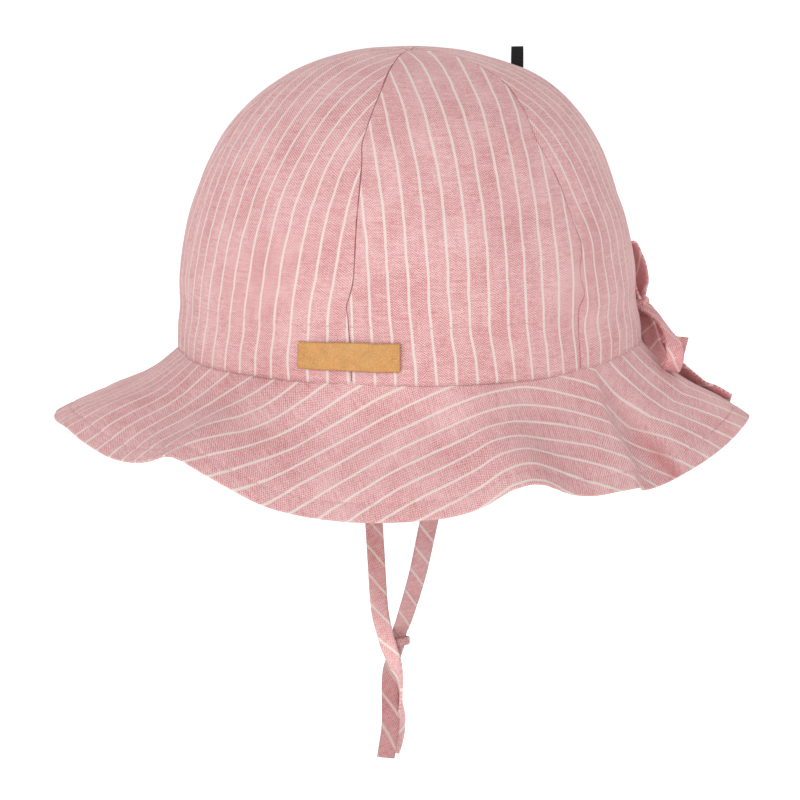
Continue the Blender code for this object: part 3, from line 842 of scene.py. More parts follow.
def brim_place(azimuth, share):
    """Points on the brim's upper face: share runs from the seam to the hem."""
    azimuth, share = np.broadcast_arrays(np.asarray(azimuth, float), np.asarray(share, float))
    folds = table_at(BRIM_FOLDS, azimuth, 360)
    slope = np.radians(folds[..., :1])
    sag = folds[..., 1] - BRIM_LOFT * bell(off_azimuth(azimuth, LOFT_AZIMUTH), LOFT_SPREAD)
    out = direction(azimuth)
    along = out * np.cos(slope) - UP * np.sin(slope)
    normal = out * np.sin(slope) + UP * np.cos(slope)
    width = brim_width(azimuth)
    hang = sag * np.sin(math.pi * share) + BRIM_LIP * np.sin(2 * math.pi * share)
    dip = VALLEY_DEPTH * bell(off_azimuth(azimuth, fold_edge(share) + VALLEY_PAST), VALLEY_SPREAD)
    dip = dip * 4 * share * (1 - share)
    lift = brim_fold(azimuth, share) - dip - hang * width
    start = out * (CROWN_RADIUS - CROWN_WALL / 2)
    start = start + UP * (foot_height(azimuth) - CLEARANCE)[..., None]
    return start + along * (width * share)[..., None] + normal * lift[..., None]


def grid_normals(points, ring=False):
    """Normals of a grid of points: rows run up and columns run to the viewer's right."""
    if ring:
        wrapped = np.concatenate([points[:, -1:], points, points[:, :1]], axis=1)
        across = wrapped[:, 2:] - wrapped[:, :-2]
    else:
        across = np.gradient(points, axis=1)
    return unit(np.cross(across, np.gradient(points, axis=0)))


def cloth_mesh(name, top, under, spots, ring=False, rim=0.0):
    """A closed wall between two grids of points. Spots are the places on the flat cloth, which become its UV map.
    A ring's grids leave out the last column, which its spots keep. Rim is how far the edge rows bulge."""
    rows, columns = top.shape[:2]
    verts = [top.reshape(-1, 3), under.reshape(-1, 3)]
    offset = rows * columns
    edge_rows, edge_spots = {}, {}
    if rim:
        for row, inner in ((0, 1), (rows - 1, rows - 2)):
            middle = (top[row] + under[row]) / 2
            bulged = middle + unit(top[row] - top[inner]) * rim
            edge_rows[row] = offset * 2 + columns * len(edge_rows)
            verts.append(bulged)
            turned_over = np.linalg.norm(top[row] - under[row], axis=-1).mean() / 2 + rim
            edge_spots[row] = spots[row] + unit(spots[row] - spots[inner]) * turned_over
    faces, corners = [], []

    def add(loop):
        faces.append([vert for vert, spot in loop])
        corners.extend(edge_spots[spot[0]][spot[1]] if vert >= offset * 2 else spots[spot[0], spot[1]]
                       for vert, spot in loop)

    steps = range(columns if ring else columns - 1)

    def at(row, column, side):
        return side * offset + row * columns + column % columns, (row, column)

    def on_rim(row, column):
        return edge_rows[row] + column % columns, (row, column)

    for row in range(rows - 1):
        for column in steps:
            add([at(row, column, 0), at(row, column + 1, 0), at(row + 1, column + 1, 0), at(row + 1, column, 0)])
            add([at(row, column, 1), at(row + 1, column, 1), at(row + 1, column + 1, 1), at(row, column + 1, 1)])
    for row, first, second in ((0, 1, 0), (rows - 1, 0, 1)):
        for column in steps:
            if rim:
                add([at(row, column, first), at(row, column + 1, first), on_rim(row, column + 1),
                     on_rim(row, column)])
                add([on_rim(row, column), on_rim(row, column + 1), at(row, column + 1, second),
                     at(row, column, second)])
            else:
                add([at(row, column, first), at(row, column + 1, first), at(row, column + 1, second),
                     at(row, column, second)])
    if not ring:
        for column, first, second in ((0, 0, 1), (columns - 1, 1, 0)):
            for row in range(rows - 1):
                add([at(row, column, first), at(row + 1, column, first), at(row + 1, column, second),
                     at(row, column, second)])
    return finished_mesh(name, np.concatenate(verts), faces, corners)


def finished_mesh(name, verts, faces, corners):
    """A smooth mesh with a UV map named cloth. Corners are the UV of every face corner, in order."""
    mesh = bpy.data.meshes.new(name)
    mesh.from_pydata([tuple(v) for v in verts], [], faces)
    layer = mesh.uv_layers.new(name="cloth")
    layer.data.foreach_set("uv", np.asarray(corners, np.float32).ravel())
    mesh.validate()
    mesh.shade_smooth()
    return mesh


def mark_points(mesh, name, values):
    """A number for each point of the mesh, as an attribute that its material reads."""
    mesh.attributes.new(name, "FLOAT", "POINT").data.foreach_set("value", values.astype(np.float32))


def faced_out(mesh):
    """The closed mesh with its faces outwards: it is turned over where its volume comes out below zero."""
    if sum(p.center.dot(p.normal) * p.area for p in mesh.polygons) < 0:
        mesh.flip_normals()
    return mesh


def show(name, mesh, material, slot, *nodes):
    """The mesh as a piece of the hat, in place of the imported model's own nodes."""
    if not len(mesh.polygons):
        raise RuntimeError(f"{name} has no faces")
    mesh.materials.clear()
    mesh.materials.append(material)
    piece = bpy.data.objects.new(name, mesh)
    bpy.context.scene.collection.objects.link(piece)
    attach(piece, "root")
    if nodes:
        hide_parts(*nodes)
    return piece


def even_shares(point, end, count):
    """Shares from 0 to end that lie at even steps along a line of points, and the line's length at each."""
    fine = np.linspace(0, end, 1200)
    steps = np.linalg.norm(np.diff(point(fine), axis=0), axis=1)
    length = np.concatenate([[0], np.cumsum(steps)])
    even = np.linspace(0, length[-1], count)
    return np.interp(even, length, fine), even


def gore_cloth(number):
    """One gore, whose sides turn in at its seams and run on inside as seam allowances. It comes with its width at
    the foot, its length and its area, all of the flat cloth."""
    middle = GORE_SPAN * (number + 0.5)
    tip = math.acos((APEX_RADIUS / CROWN_RADIUS) ** (CROWN_SQUARENESS / 2)) / (math.pi / 2)
    shares, lengths = even_shares(lambda s: crown_place(np.full_like(s, middle), s), tip, GORE_ROWS)
    spine = crown_place(np.full_like(shares, middle), shares)
    radius = np.linalg.norm(spine[:, :2], axis=1)
    half = radius * math.radians(GORE_SPAN / 2) - SEAM_SLIT
    rounding = np.minimum(SEAM_ROUNDING, 0.45 * half)
    allowance = SEAM_ALLOWANCE * np.clip(lengths / ALLOWANCE_FOOT, ALLOWANCE_FOOT_SHARE, 1)
    allowance = allowance * np.clip(radius / ALLOWANCE_APEX, ALLOWANCE_APEX_SHARE, 1)

    flat_steps = np.linspace(-1, 1, GORE_COLUMNS)
    columns = []
    for side, outwards in ((-1, True), (1, False)):
        bent = [(half - rounding * (1 - math.sin(turn)), rounding * (1 - math.cos(turn)), rounding * turn)
                for turn in SEAM_TURNS]
        hidden = [(half, rounding + allowance * step, rounding * math.pi / 2 + allowance * step)
                  for step in ALLOWANCE_STEPS]
        strip = [(side * x, depth, side * (half - rounding + arc)) for x, depth, arc in bent + hidden]
        columns.append(strip[::-1] if outwards else strip)
    body = [(step * (half - rounding), np.zeros_like(half), step * (half - rounding)) for step in flat_steps]
    ordered = columns[0] + body + columns[1]
    lateral, depth, across = (np.stack([c[k] for c in ordered], axis=1) for k in range(3))

    azimuth = middle + np.degrees(lateral / radius[:, None])
    points = crown_place(azimuth, shares[:, None])
    rise = np.gradient(spine[:, 2])
    reach = np.gradient(radius)
    tilt = unit(np.stack([rise, -reach], axis=1))
    normals = direction(azimuth) * tilt[:, None, :1]
    normals[..., 2] = tilt[:, None, 1]
    pinch = APEX_PINCH * bell(radius, APEX_SPREAD)
    points = creased(points, normals) - normals * (depth + pinch[:, None])[..., None]
    points[0, :, 2] -= FOOT_LIP

    outward = grid_normals(points)
    wall = np.where(np.abs(lateral) >= half[:, None] * 0.9999, SEAM_CLOTH, GORE_CLOTH)
    wall = wall * np.clip(radius / APEX_THINNING, APEX_THIN_SHARE, 1)[:, None]
    under = points - outward * wall[..., None]
    height = CROWN_HEIGHT * np.sin(shares * math.pi / 2) ** (2 / CROWN_SQUARENESS)
    height = np.broadcast_to(height[:, None], across.shape)
    swayed = sway(azimuth, height)
    kept = across + np.radians(swayed) * radius[:, None] - GORE_PHASES[number]
    kept = kept + stripe_run(number, (azimuth + swayed - middle) / (GORE_SPAN / 2), height)
    kept = kept + STRIPE_WOBBLE * noise_at(points * np.array([1, 1, 1.4]), STRIPE_WOBBLE_SIZE, 11)
    spots = np.stack([kept, np.broadcast_to(lengths[:, None], across.shape)], axis=-1)
    widths = 2 * (half + allowance)
    area = float(np.sum((widths[1:] + widths[:-1]) / 2 * np.diff(lengths)))
    mesh = cloth_mesh(f"gore_cloth_{number + 1}", points, under, spots)
    from_seam = np.maximum(half[:, None] - np.abs(across), 0)
    mark_points(mesh, "from_seam", np.concatenate([from_seam.ravel(), np.full(from_seam.size, half[0])]))
    return mesh, float(widths[0]), float(lengths[-1]), area


class SUNHAT_OT_crown(bpy.types.Operator):
    """Sew the six gores of the crown"""

    bl_idname = "sun_hat.crown"
    bl_label = "Sew Crown"

    def execute(self, context):
        cloth = linen("crown_linen_cloth", seamed=True)
        for number in range(GORE_COUNT):
            mesh, width, length, area = gore_cloth(number)
            piece = show(mesh.name, mesh, cloth, "crown_linen", f"crown_gore_{number + 1}")
        return {"FINISHED"}


def brim_spots(azimuth, share):
    """Places on the brim's flat cut, whose stripes lie along the seam at one azimuth."""
    past = off_azimuth(azimuth, fold_edge(share))
    hidden = FOLD_HIDDEN * np.clip(past / FOLD_DROP + 0.5, 0, 1) * np.clip(share * 2, 0, 1)
    hidden = np.where(azimuth > FOLD_FRONT, hidden, 0)
    angle = np.radians(azimuth + hidden - BRIM_STRIPE_AZIMUTH)
    radius = CROWN_RADIUS + brim_width(azimuth) * share
    stray = through_three(table_at(BRIM_STRIPES, azimuth, 360) / MM, 2 * np.clip(share, 0, 1) - 1)
    return np.stack([radius * np.cos(angle) + stray, radius * np.sin(angle)], axis=-1)


def brim_top(azimuth, share):
    """The brim's upper face with its creases, its stitched hem and the seam at the back."""
    points = brim_place(azimuth, share)
    normals = grid_normals(points)
    points = creased(points, normals, BRIM_CREASES)
    from_hem = brim_width(azimuth) * (1 - share)
    groove = HEM_GROOVE * bell(from_hem - HEM_DEPTH, HEM_GROOVE_SPREAD)
    stray = PUCKER_STRAY * noise_at(points, PUCKER_STRAY_SIZE, 4)
    pucker = PUCKER_DEPTH * np.sin(np.radians(azimuth) * PUCKER_COUNT + stray)
    pucker = pucker * bell(from_hem - HEM_DEPTH / 2, PUCKER_SPREAD)
    back = BACK_SEAM_DIP * bell(off_azimuth(azimuth, BACK_AZIMUTH), BACK_SEAM_SPREAD)
    return points + normals * (pucker - groove - back)[..., None], normals


class SUNHAT_OT_brim(bpy.types.Operator):
    """Sew the wavy brim"""

    bl_idname = "sun_hat.brim"
    bl_label = "Sew Brim"

    def execute(self, context):
        azimuth = np.linspace(-180, 180, BRIM_COLUMNS + 1)[None, :]
        inner = -BRIM_TUCK / BRIM_FRONT_WIDTH
        hem = 1 - HEM_ROWS[:, None] * HEM_DEPTH / brim_width(azimuth)
        inwards = np.linspace(1, 0, BRIM_ROWS - len(HEM_ROWS) - 1)[1:, None]
        share = np.concatenate([hem, hem[-1:] * inwards])
        share = np.concatenate([share, np.full_like(azimuth, inner * 0.5), np.full_like(azimuth, inner)])
        azimuth = np.broadcast_to(azimuth, share.shape)
        points, normals = brim_top(azimuth, share)
        points, normals = points[:, :-1], normals[:, :-1]
        from_hem = (brim_width(azimuth) * (1 - share))[:, :-1]
        hem = 1 / (1 + np.exp((from_hem - HEM_DEPTH) / HEM_STEP))
        wall = BRIM_CLOTH + (BRIM_HEM_CLOTH - BRIM_CLOTH) * hem
        under = points - normals * wall[..., None]
        mesh = cloth_mesh("brim_cloth", points, under, brim_spots(azimuth, share), ring=True, rim=BRIM_RIM)
        self.shade(mesh, azimuth[:, :-1], share[:, :-1], from_hem)
        cloth = linen("brim_linen_cloth", phase=BRIM_STRIPE_PHASE, seamed=True)
        piece = show(mesh.name, mesh, cloth, "brim_linen", "brim")
        return {"FINISHED"}

    def shade(self, mesh, azimuth, share, from_hem):
        """Mark where painted shade goes: near the hem's stitches, on both faces, and in the dip behind the fold,
        on the upper one.
        """
        edges = 2 * BRIM_COLUMNS
        fainter = 1 - bell(off_azimuth(azimuth, HEM_SHADE_AZIMUTH), HEM_SHADE_SPREAD)
        from_stitches = (np.abs(from_hem - HEM_DEPTH) + HEM_SHADE_FADE * fainter).ravel()
        mark_points(mesh, "from_seam", np.concatenate([from_stitches, from_stitches, np.full(edges, HEM_DEPTH)]))
        # Painted shade in the dip behind the fold, growing towards the hem
        painted_dip_shade = DIP_SHADE * bell(off_azimuth(azimuth, DIP_SHADE_AZIMUTH), DIP_SHADE_SPREAD)
        painted_dip_shade = (painted_dip_shade * np.clip((share - DIP_SHADE_START) / DIP_SHADE_GROWTH, 0, 1)).ravel()
        mark_points(mesh, "painted_dip_shade", np.concatenate([painted_dip_shade, np.zeros(painted_dip_shade.size + edges)]))


def stitch_tree():
    """A Geometry Nodes tree that lays stitches end to end along a line of edges."""
    tree = bpy.data.node_groups.new("stitches_on_line", "GeometryNodeTree")
    side = tree.interface
    side.new_socket("Line", in_out="INPUT", socket_type="NodeSocketGeometry")
    for name, kind, value in (
        ("Pitch", "NodeSocketFloat", 0.003), ("Stitch Length", "NodeSocketFloat", 0.002),
        ("Thread Width", "NodeSocketFloat", 0.0004), ("Seed", "NodeSocketInt", 1),
    ):
        side.new_socket(name, in_out="INPUT", socket_type=kind).default_value = value
    side.new_socket("Thread", in_out="INPUT", socket_type="NodeSocketMaterial")
    side.new_socket("Stitches", in_out="OUTPUT", socket_type="NodeSocketGeometry")

    def node(kind, settings=None, **values):
        made = tree.nodes.new(kind)
        for name, value in (settings or {}).items():
            setattr(made, name, value)
        for name, value in values.items():
            socket = made.inputs[name.replace("_", " ")]
            if isinstance(value, bpy.types.NodeSocket):
                tree.links.new(value, socket)
            else:
                socket.default_value = value
        return made

    given = node("NodeGroupInput").outputs
    curve = node("GeometryNodeMeshToCurve", Mesh=given["Line"])
    dots = node("GeometryNodeCurveToPoints", {"mode": "LENGTH"}, Curve=curve.outputs[0], Length=given["Pitch"])
    up = node("GeometryNodeInputNamedAttribute", {"data_type": "FLOAT_VECTOR"}, Name="up")
    lie = node("FunctionNodeAxesToRotation", {"primary_axis": "Z", "secondary_axis": "X"})
    tree.links.new(up.outputs["Attribute"], lie.inputs[0])
    tree.links.new(dots.outputs["Tangent"], lie.inputs[1])
    uneven = node("FunctionNodeRandomValue", {"data_type": "FLOAT"})
    for name, value in (("Min", STITCH_SHORTEST), ("Max", STITCH_LONGEST)):
        [s for s in uneven.inputs if s.name == name and s.type == "VALUE"][0].default_value = value
    tree.links.new(given["Seed"], uneven.inputs["Seed"])
    spread = [s for s in uneven.outputs if s.type == "VALUE" and s.enabled][0]
    length = node("ShaderNodeMath", {"operation": "MULTIPLY"})
    tree.links.new(given["Stitch Length"], length.inputs[0])
    tree.links.new(spread, length.inputs[1])
    thin = node("ShaderNodeMath", {"operation": "MULTIPLY"})
    tree.links.new(given["Thread Width"], thin.inputs[0])
    thin.inputs[1].default_value = STITCH_FLATNESS
    scale = node("ShaderNodeCombineXYZ", X=length.outputs[0], Y=given["Thread Width"], Z=thin.outputs[0])
    bead = node("GeometryNodeMeshUVSphere", Segments=8, Rings=6, Radius=0.5)
    laid = node("GeometryNodeInstanceOnPoints", Points=dots.outputs["Points"], Instance=bead.outputs[0],
                Rotation=lie.outputs[0], Scale=scale.outputs[0])
    real = node("GeometryNodeRealizeInstances", Geometry=laid.outputs[0])
    soft = node("GeometryNodeSetShadeSmooth", Geometry=real.outputs[0])
    dyed = node("GeometryNodeSetMaterial", Geometry=soft.outputs[0], Material=given["Thread"])
    node("NodeGroupOutput", Stitches=dyed.outputs[0])
    return tree


def stitch_lines(name, lines, slot, thread, pitch=None, length_share=0.74, seed=1):
    """Stitches along lines, as one piece. Each line is a pair: its points and how the cloth faces there."""
    verts, edges, ups = [], [], []
    for points, facing in lines:
        first = len(verts)
        verts += [tuple(p) for p in points]
        ups += [tuple(f) for f in facing]
        edges += [(first + i, first + i + 1) for i in range(len(points) - 1)]
    mesh = bpy.data.meshes.new(name + "_line")
    mesh.from_pydata(verts, edges, [])
    ways = mesh.attributes.new("up", "FLOAT_VECTOR", "POINT")
    ways.data.foreach_set("vector", np.array(ups, np.float32).ravel())
    line = bpy.data.objects.new(name + "_line", mesh)
    bpy.context.scene.collection.objects.link(line)
    tree = bpy.data.node_groups.get("stitches_on_line") or stitch_tree()
    sewn = line.modifiers.new("stitches", "NODES")
    sewn.node_group = tree
    pitch = pitch or sizes().stitch_pitch  # the hat's own stitches, unless a piece has its own
    given = {"Pitch": pitch, "Stitch Length": pitch * length_share, "Thread Width": sizes().sewing_thread,
             "Seed": seed, "Thread": thread}
    for socket in tree.interface.items_tree:
        if socket.name in given and socket.in_out == "INPUT":
            sewn[socket.identifier] = given[socket.name]
    made = bpy.data.meshes.new_from_object(line.evaluated_get(bpy.context.evaluated_depsgraph_get()))
    made.name = name
    bpy.data.objects.remove(line, do_unlink=True)
    return show(name, made, thread, slot)


class SUNHAT_OT_stitching(bpy.types.Operator):
    """Stitch the hem of the brim and the casing of the crown"""

    bl_idname = "sun_hat.stitching"
    bl_label = "Stitch Hem and Casing"

    def execute(self, context):
        thread = sewing_thread()
        around = np.linspace(-180, 180, STITCH_LINE_POINTS)[None, :]
        share = 1 - HEM_DEPTH / brim_width(around)
        nearby = np.concatenate([share + 0.01, share, share - 0.01])
        points, normals = brim_top(np.broadcast_to(around, nearby.shape), nearby)
        above = points[1] + normals[1] * sizes().sewing_thread * HEM_STITCH_RISE
        below = points[1] - normals[1] * (BRIM_CLOTH + BRIM_HEM_CLOTH) / 2
        stitch_lines("hem_stitches", [(above, normals[1]), (below, -normals[1])], "brim_linen", thread)

        share = 2 / math.pi * math.asin((CASING_STITCH_HEIGHT / CROWN_HEIGHT) ** (CROWN_SQUARENESS / 2))
        ring = crown_place(around, np.array([[share]]))
        facing = direction(around)
        line = creased(ring, facing)[0] + facing[0] * sizes().sewing_thread * CASING_STITCH_RISE
        stitch_lines("casing_stitches", [(line, facing[0])], "crown_linen", thread, seed=2)
        return {"FINISHED"}


class SUNHAT_OT_patch(bpy.types.Operator):
    """Sew the patch over the seam at the wearer's left"""

    bl_idname = "sun_hat.patch"
    bl_label = "Sew Patch"

    def execute(self, context):
        across = np.linspace(-0.5, 0.5, PATCH_COLUMNS)[None, :]
        up = np.linspace(0, 1, PATCH_ROWS)[:, None]
        across, up = np.broadcast_arrays(across, up)
        height = PATCH_FOOT + PATCH_FOOT_TRIM + (PATCH_HEIGHT - PATCH_TRIM - PATCH_SLANT * (0.5 - across)) * up
        flat = np.stack([across * PATCH_LENGTH, up * PATCH_WAVE_DRIFT, up * 0], axis=-1)
        height = height + PATCH_WAVE * noise_at(flat, PATCH_WAVE_SIZE, 8)
        outer = CROWN_RADIUS + CLEARANCE + PATCH_WALL
        azimuth = PATCH_AZIMUTH + PATCH_SHIFT + np.degrees(PATCH_LENGTH / outer) * across
        out = direction(azimuth)
        radius = crown_radius(height) + CLEARANCE + PATCH_WALL
        points = out * radius[..., None]
        points[..., 2] = height
        ends = PATCH_END_DIP * bell((0.5 - np.abs(across)) * PATCH_LENGTH, PATCH_END_SPREAD)
        edges = PATCH_EDGE_DIP * bell(np.minimum(up, 1 - up) * PATCH_HEIGHT, PATCH_EDGE_SPREAD)
        lumps = PATCH_LUMPS * noise_at(points, PATCH_LUMP_SIZE, 6)
        tacked = TACK_DIP * bell(np.abs(across) * PATCH_LENGTH - TACK_REACH, TACK_DIP_LENGTH)
        tacked = tacked * bell((up - TACK_SHARE) * PATCH_HEIGHT, TACK_DIP_HEIGHT)
        points = points + out * (lumps - ends - edges - tacked)[..., None]
        spots = np.stack([across * PATCH_LENGTH, (up - 0.5) * PATCH_HEIGHT], axis=-1)
        mesh = cloth_mesh("patch", points, points - out * PATCH_STOCK, spots, rim=SMALL_RIM)
        show(mesh.name, mesh, patch_leather(), "tan_patch", "label_patch")
        self.tack(outer)
        return {"FINISHED"}

    def tack(self, outer):
        """One stitch at each end of the patch, whose outer face has a radius of outer at the crown's foot."""
        tacks = []
        run = np.linspace(-TACK_LENGTH / 2, TACK_LENGTH / 2, 9)
        for side in (-1, 1):
            middle = PATCH_AZIMUTH + PATCH_SHIFT + math.degrees(side * TACK_REACH / outer)
            facing = direction(middle + np.degrees(run / outer))
            height = PATCH_FOOT + PATCH_HEIGHT * TACK_SHARE - side * run * TACK_SLOPE
            line = facing * (outer + crown_radius(height) - CROWN_RADIUS - TACK_SINK)[:, None]
            line[:, 2] = height
            tacks.append((line, facing))
        thread = patch_thread()
        stitch_lines("patch_tacks", tacks, "tan_patch", thread, pitch=TACK_LENGTH, length_share=0.95, seed=3)


class SUNHAT_OT_tag(bpy.types.Operator):
    """Fold the tag that stands out of the back seam"""

    bl_idname = "sun_hat.tag"
    bl_label = "Fold Tag"

    def execute(self, context):
        out = direction(BACK_AZIMUTH)
        side = np.cross(out, UP)
        top = float(crown_height(TAG_RADIUS)) + TAG_RISE
        foot = float(crown_height(TAG_RADIUS + TAG_WIDTH / 2)) + CLEARANCE
        reach = TAG_WALL / 2
        arch = top - reach - foot
        length = 2 * arch + math.pi * reach
        rows = []
        for along in np.linspace(0, length, TAG_ROWS):
            if along < arch:
                sideways, rise = -reach, foot + along
            elif along > length - arch:
                sideways, rise = reach, foot + length - along
            else:
                turn = (along - arch) / reach
                sideways, rise = -reach * math.cos(turn), foot + arch + reach * math.sin(turn)
            pinched = 1 - TAG_PINCH * math.sin(math.pi * along / length) ** 8
            rows.append((sideways * pinched, rise, along))
        widths = np.linspace(-0.5, 0.5, TAG_COLUMNS)
        points = np.array([[side * x + UP * z + out * (TAG_RADIUS - w * TAG_WIDTH) for w in widths]
                           for x, z, _ in rows])
        normals = grid_normals(points)
        middle = UP * (foot + arch / 2) + out * TAG_RADIUS
        if ((points - middle) * normals).sum(-1).mean() < 0:
            points = points[:, ::-1]
            normals = grid_normals(points)
        spots = np.array([[(w * TAG_WIDTH, along) for w in widths] for _, _, along in rows])
        mesh = cloth_mesh("tag_fold", points, points - normals * TAG_TAPE, spots)
        show(mesh.name, mesh, tag_tape(), "black_tape", "seam_tag")
        return {"FINISHED"}


def run_at(centres):
    """The way that a line of points runs, at each of them."""
    return unit(np.gradient(centres, axis=0))


def turned(centres, sides, turns):
    """The sides made square to the run along the centres, and turned about that run by degrees."""
    runs = run_at(centres)
    square = unit(sides - runs * (sides * runs).sum(-1, keepdims=True))
    made = [Matrix.Rotation(math.radians(t), 3, Vector(r)) @ Vector(s) for r, s, t in zip(runs, square, turns)]
    return np.array([tuple(v) for v in made])


def tape_mesh(name, centres, widths, sides, wall):
    """A soft folded tape, swept along its centres, with round edges and a slight hollow along its middle."""
    half = np.linspace(-1, 1, TAPE_COLUMNS)
    swell = 1 - TAPE_HOLLOW * bell(half, TAPE_HOLLOW_SPREAD) - TAPE_EDGE * np.abs(half) ** 6
    outline = [(x, y) for x, y in zip(half, swell)] + [(-x, -y) for x, y in zip(half, swell)]
    runs = run_at(centres)
    faces_up = np.cross(runs, sides)
    lengths = np.concatenate([[0], np.cumsum(np.linalg.norm(np.diff(centres, axis=0), axis=1))])
    crease = TAPE_CREASE * noise_at(centres, TAPE_CREASE_SIZE, 8)[:, None]
    rings, spots = [], []
    for x, y in outline:
        inset = TAPE_INSET * wall if abs(x) < 1 else 0
        reach = (widths / 2 - inset)[:, None] * x
        thick = wall / 2 * y * (1 + crease * (1 if y > 0 else -1))
        rings.append(centres + sides * reach + faces_up * thick)
        spots.append(np.stack([widths / 2 * x, lengths], axis=-1))
    points = np.stack(rings, axis=1)
    spots = np.stack(spots, axis=1)
    count, around = points.shape[:2]
    verts = points.reshape(-1, 3)
    faces, corners = [], []

    def add(loop):
        faces.append([i * around + k for i, k in loop])
        corners.extend(spots[i, k] for i, k in loop)

    for i in range(count - 1):
        for k in range(around):
            n = (k + 1) % around
            add([(i, k), (i, n), (i + 1, n), (i + 1, k)])
    last = around // 2
    for i, flip in ((0, True), (count - 1, False)):
        for k in range(last - 1):
            loop = [(i, k), (i, k + 1), (i, around - 2 - k), (i, around - 1 - k)]
            add(loop if not flip else loop[::-1])
    return faced_out(finished_mesh(name, verts, faces, corners))


def tie_place(across, toward, down):
    """A place in the plane that the two ties hang in, given as in their table."""
    place = (direction(TIE_PLANE_AZIMUTH + 90) * across + direction(TIE_PLANE_AZIMUTH) * toward) * CROWN_RADIUS
    return place - UP * down * CHIN_DROP


def read_table(points, sections):
    """The table's columns at even steps along it, on a smooth curve through its rows."""
    return smooth_through(points, np.arange(len(points)), np.linspace(0, len(points) - 1, sections))


def chin_tie(name, points, facing):
    """A chin tie, sewn in at the foot of the crown, which hangs to the knot and ends below it. Facing is the
    azimuth at which it is sewn in."""
    rows = read_table(points, TIE_SECTIONS)
    centres = tie_place(rows[:, :1], rows[:, 1:2], rows[:, 2:3])
    hung = direction(TIE_PLANE_AZIMUTH + 90)
    sewn = direction(facing + 90)
    sewn = sewn if sewn.dot(hung) > 0 else -sewn
    share = np.clip(rows[:, 2:3], 0, 1)
    sides = turned(centres, sewn * (1 - share) + hung * share, rows[:, 4])
    mesh = tape_mesh(name, centres, TIE_WIDTH * rows[:, 3], sides, TIE_WALL)
    return mesh, centres


class SUNHAT_OT_ties(bpy.types.Operator):
    """Hang the chin ties and knot them"""

    bl_idname = "sun_hat.ties"
    bl_label = "Hang Ties"

    def execute(self, context):
        # The left tie's cloth carries painted shade and the right tie's cloth painted light
        left = linen("tie_left_painted_shade_cloth", bias=-BIAS_ANGLE, contrast=TIE_CONTRAST, depth=LEFT_TIE_PAINTED_SHADE)
        right = linen("tie_right_painted_light_cloth", bias=-BIAS_ANGLE, contrast=TIE_CONTRAST, depth=RIGHT_TIE_PAINTED_LIGHT)
        wrap = self.wrap(left)
        for name, points, facing, pieces, cloth in (
            ("tie_left", LEFT_TIE, 90, [wrap], left), ("tie_right", RIGHT_TIE, 270, [], right),
        ):
            mesh, centres = chin_tie(name, points, facing)
            piece = show(name, mesh, cloth, "tie_linen", f"chin_{name}")
        return {"FINISHED"}

    def wrap(self, cloth):
        """The turn of cloth round the left tie, rolled from a narrow strip."""
        back, out = direction(TIE_PLANE_AZIMUTH + 90), direction(TIE_PLANE_AZIMUTH)
        wide = WRAP_REACH + CLEARANCE + WRAP_WALL
        deep = TIE_WALL / 2 + 3 * CLEARANCE + WRAP_WALL
        angle = np.linspace(0, 2 * math.pi, WRAP_COLUMNS)[None, :]
        lift = np.linspace(-1, 1, WRAP_ROWS)[:, None]
        angle, lift = np.broadcast_arrays(angle, lift)
        thinner = WRAP_WALL * (WRAP_SWELL * lift**4 + WRAP_GROOVE * bell(lift - 0.25 * np.sin(angle), 0.12))
        across = back * (np.cos(angle) * (wide - thinner))[..., None]
        away = out * (np.sin(angle) * (deep - thinner))[..., None]
        tall = WRAP_HEIGHT * (lift / 2 + WRAP_SLANT * np.cos(angle))
        points = tie_place(*WRAP_PLACE) + across + away + UP * tall[..., None]
        inward = unit(back * np.cos(angle)[..., None] * deep + out * np.sin(angle)[..., None] * wide)
        under = points - inward * WRAP_CLOTH
        spots = np.stack([WRAP_HEIGHT / 2 * lift, angle * (wide + deep) / 2], axis=-1)
        mesh = faced_out(cloth_mesh("tie_turn", points[:, :-1], under[:, :-1], spots, ring=True, rim=SMALL_RIM))
        return show(mesh.name, mesh, cloth, "tie_linen", "tie_wrap")


def bow_place(out, up, left):
    """A place round the bow's knot, given as in the tables of its loops and tails."""
    knot = CROWN_RADIUS + CLEARANCE + BOW_KNOT / 2
    place = direction(BACK_AZIMUTH) * (knot + out * BOW_LOOP) + direction(BACK_AZIMUTH - 90) * left * BOW_LOOP
    return place + UP * (BOW_HEIGHT + up * BOW_LOOP)


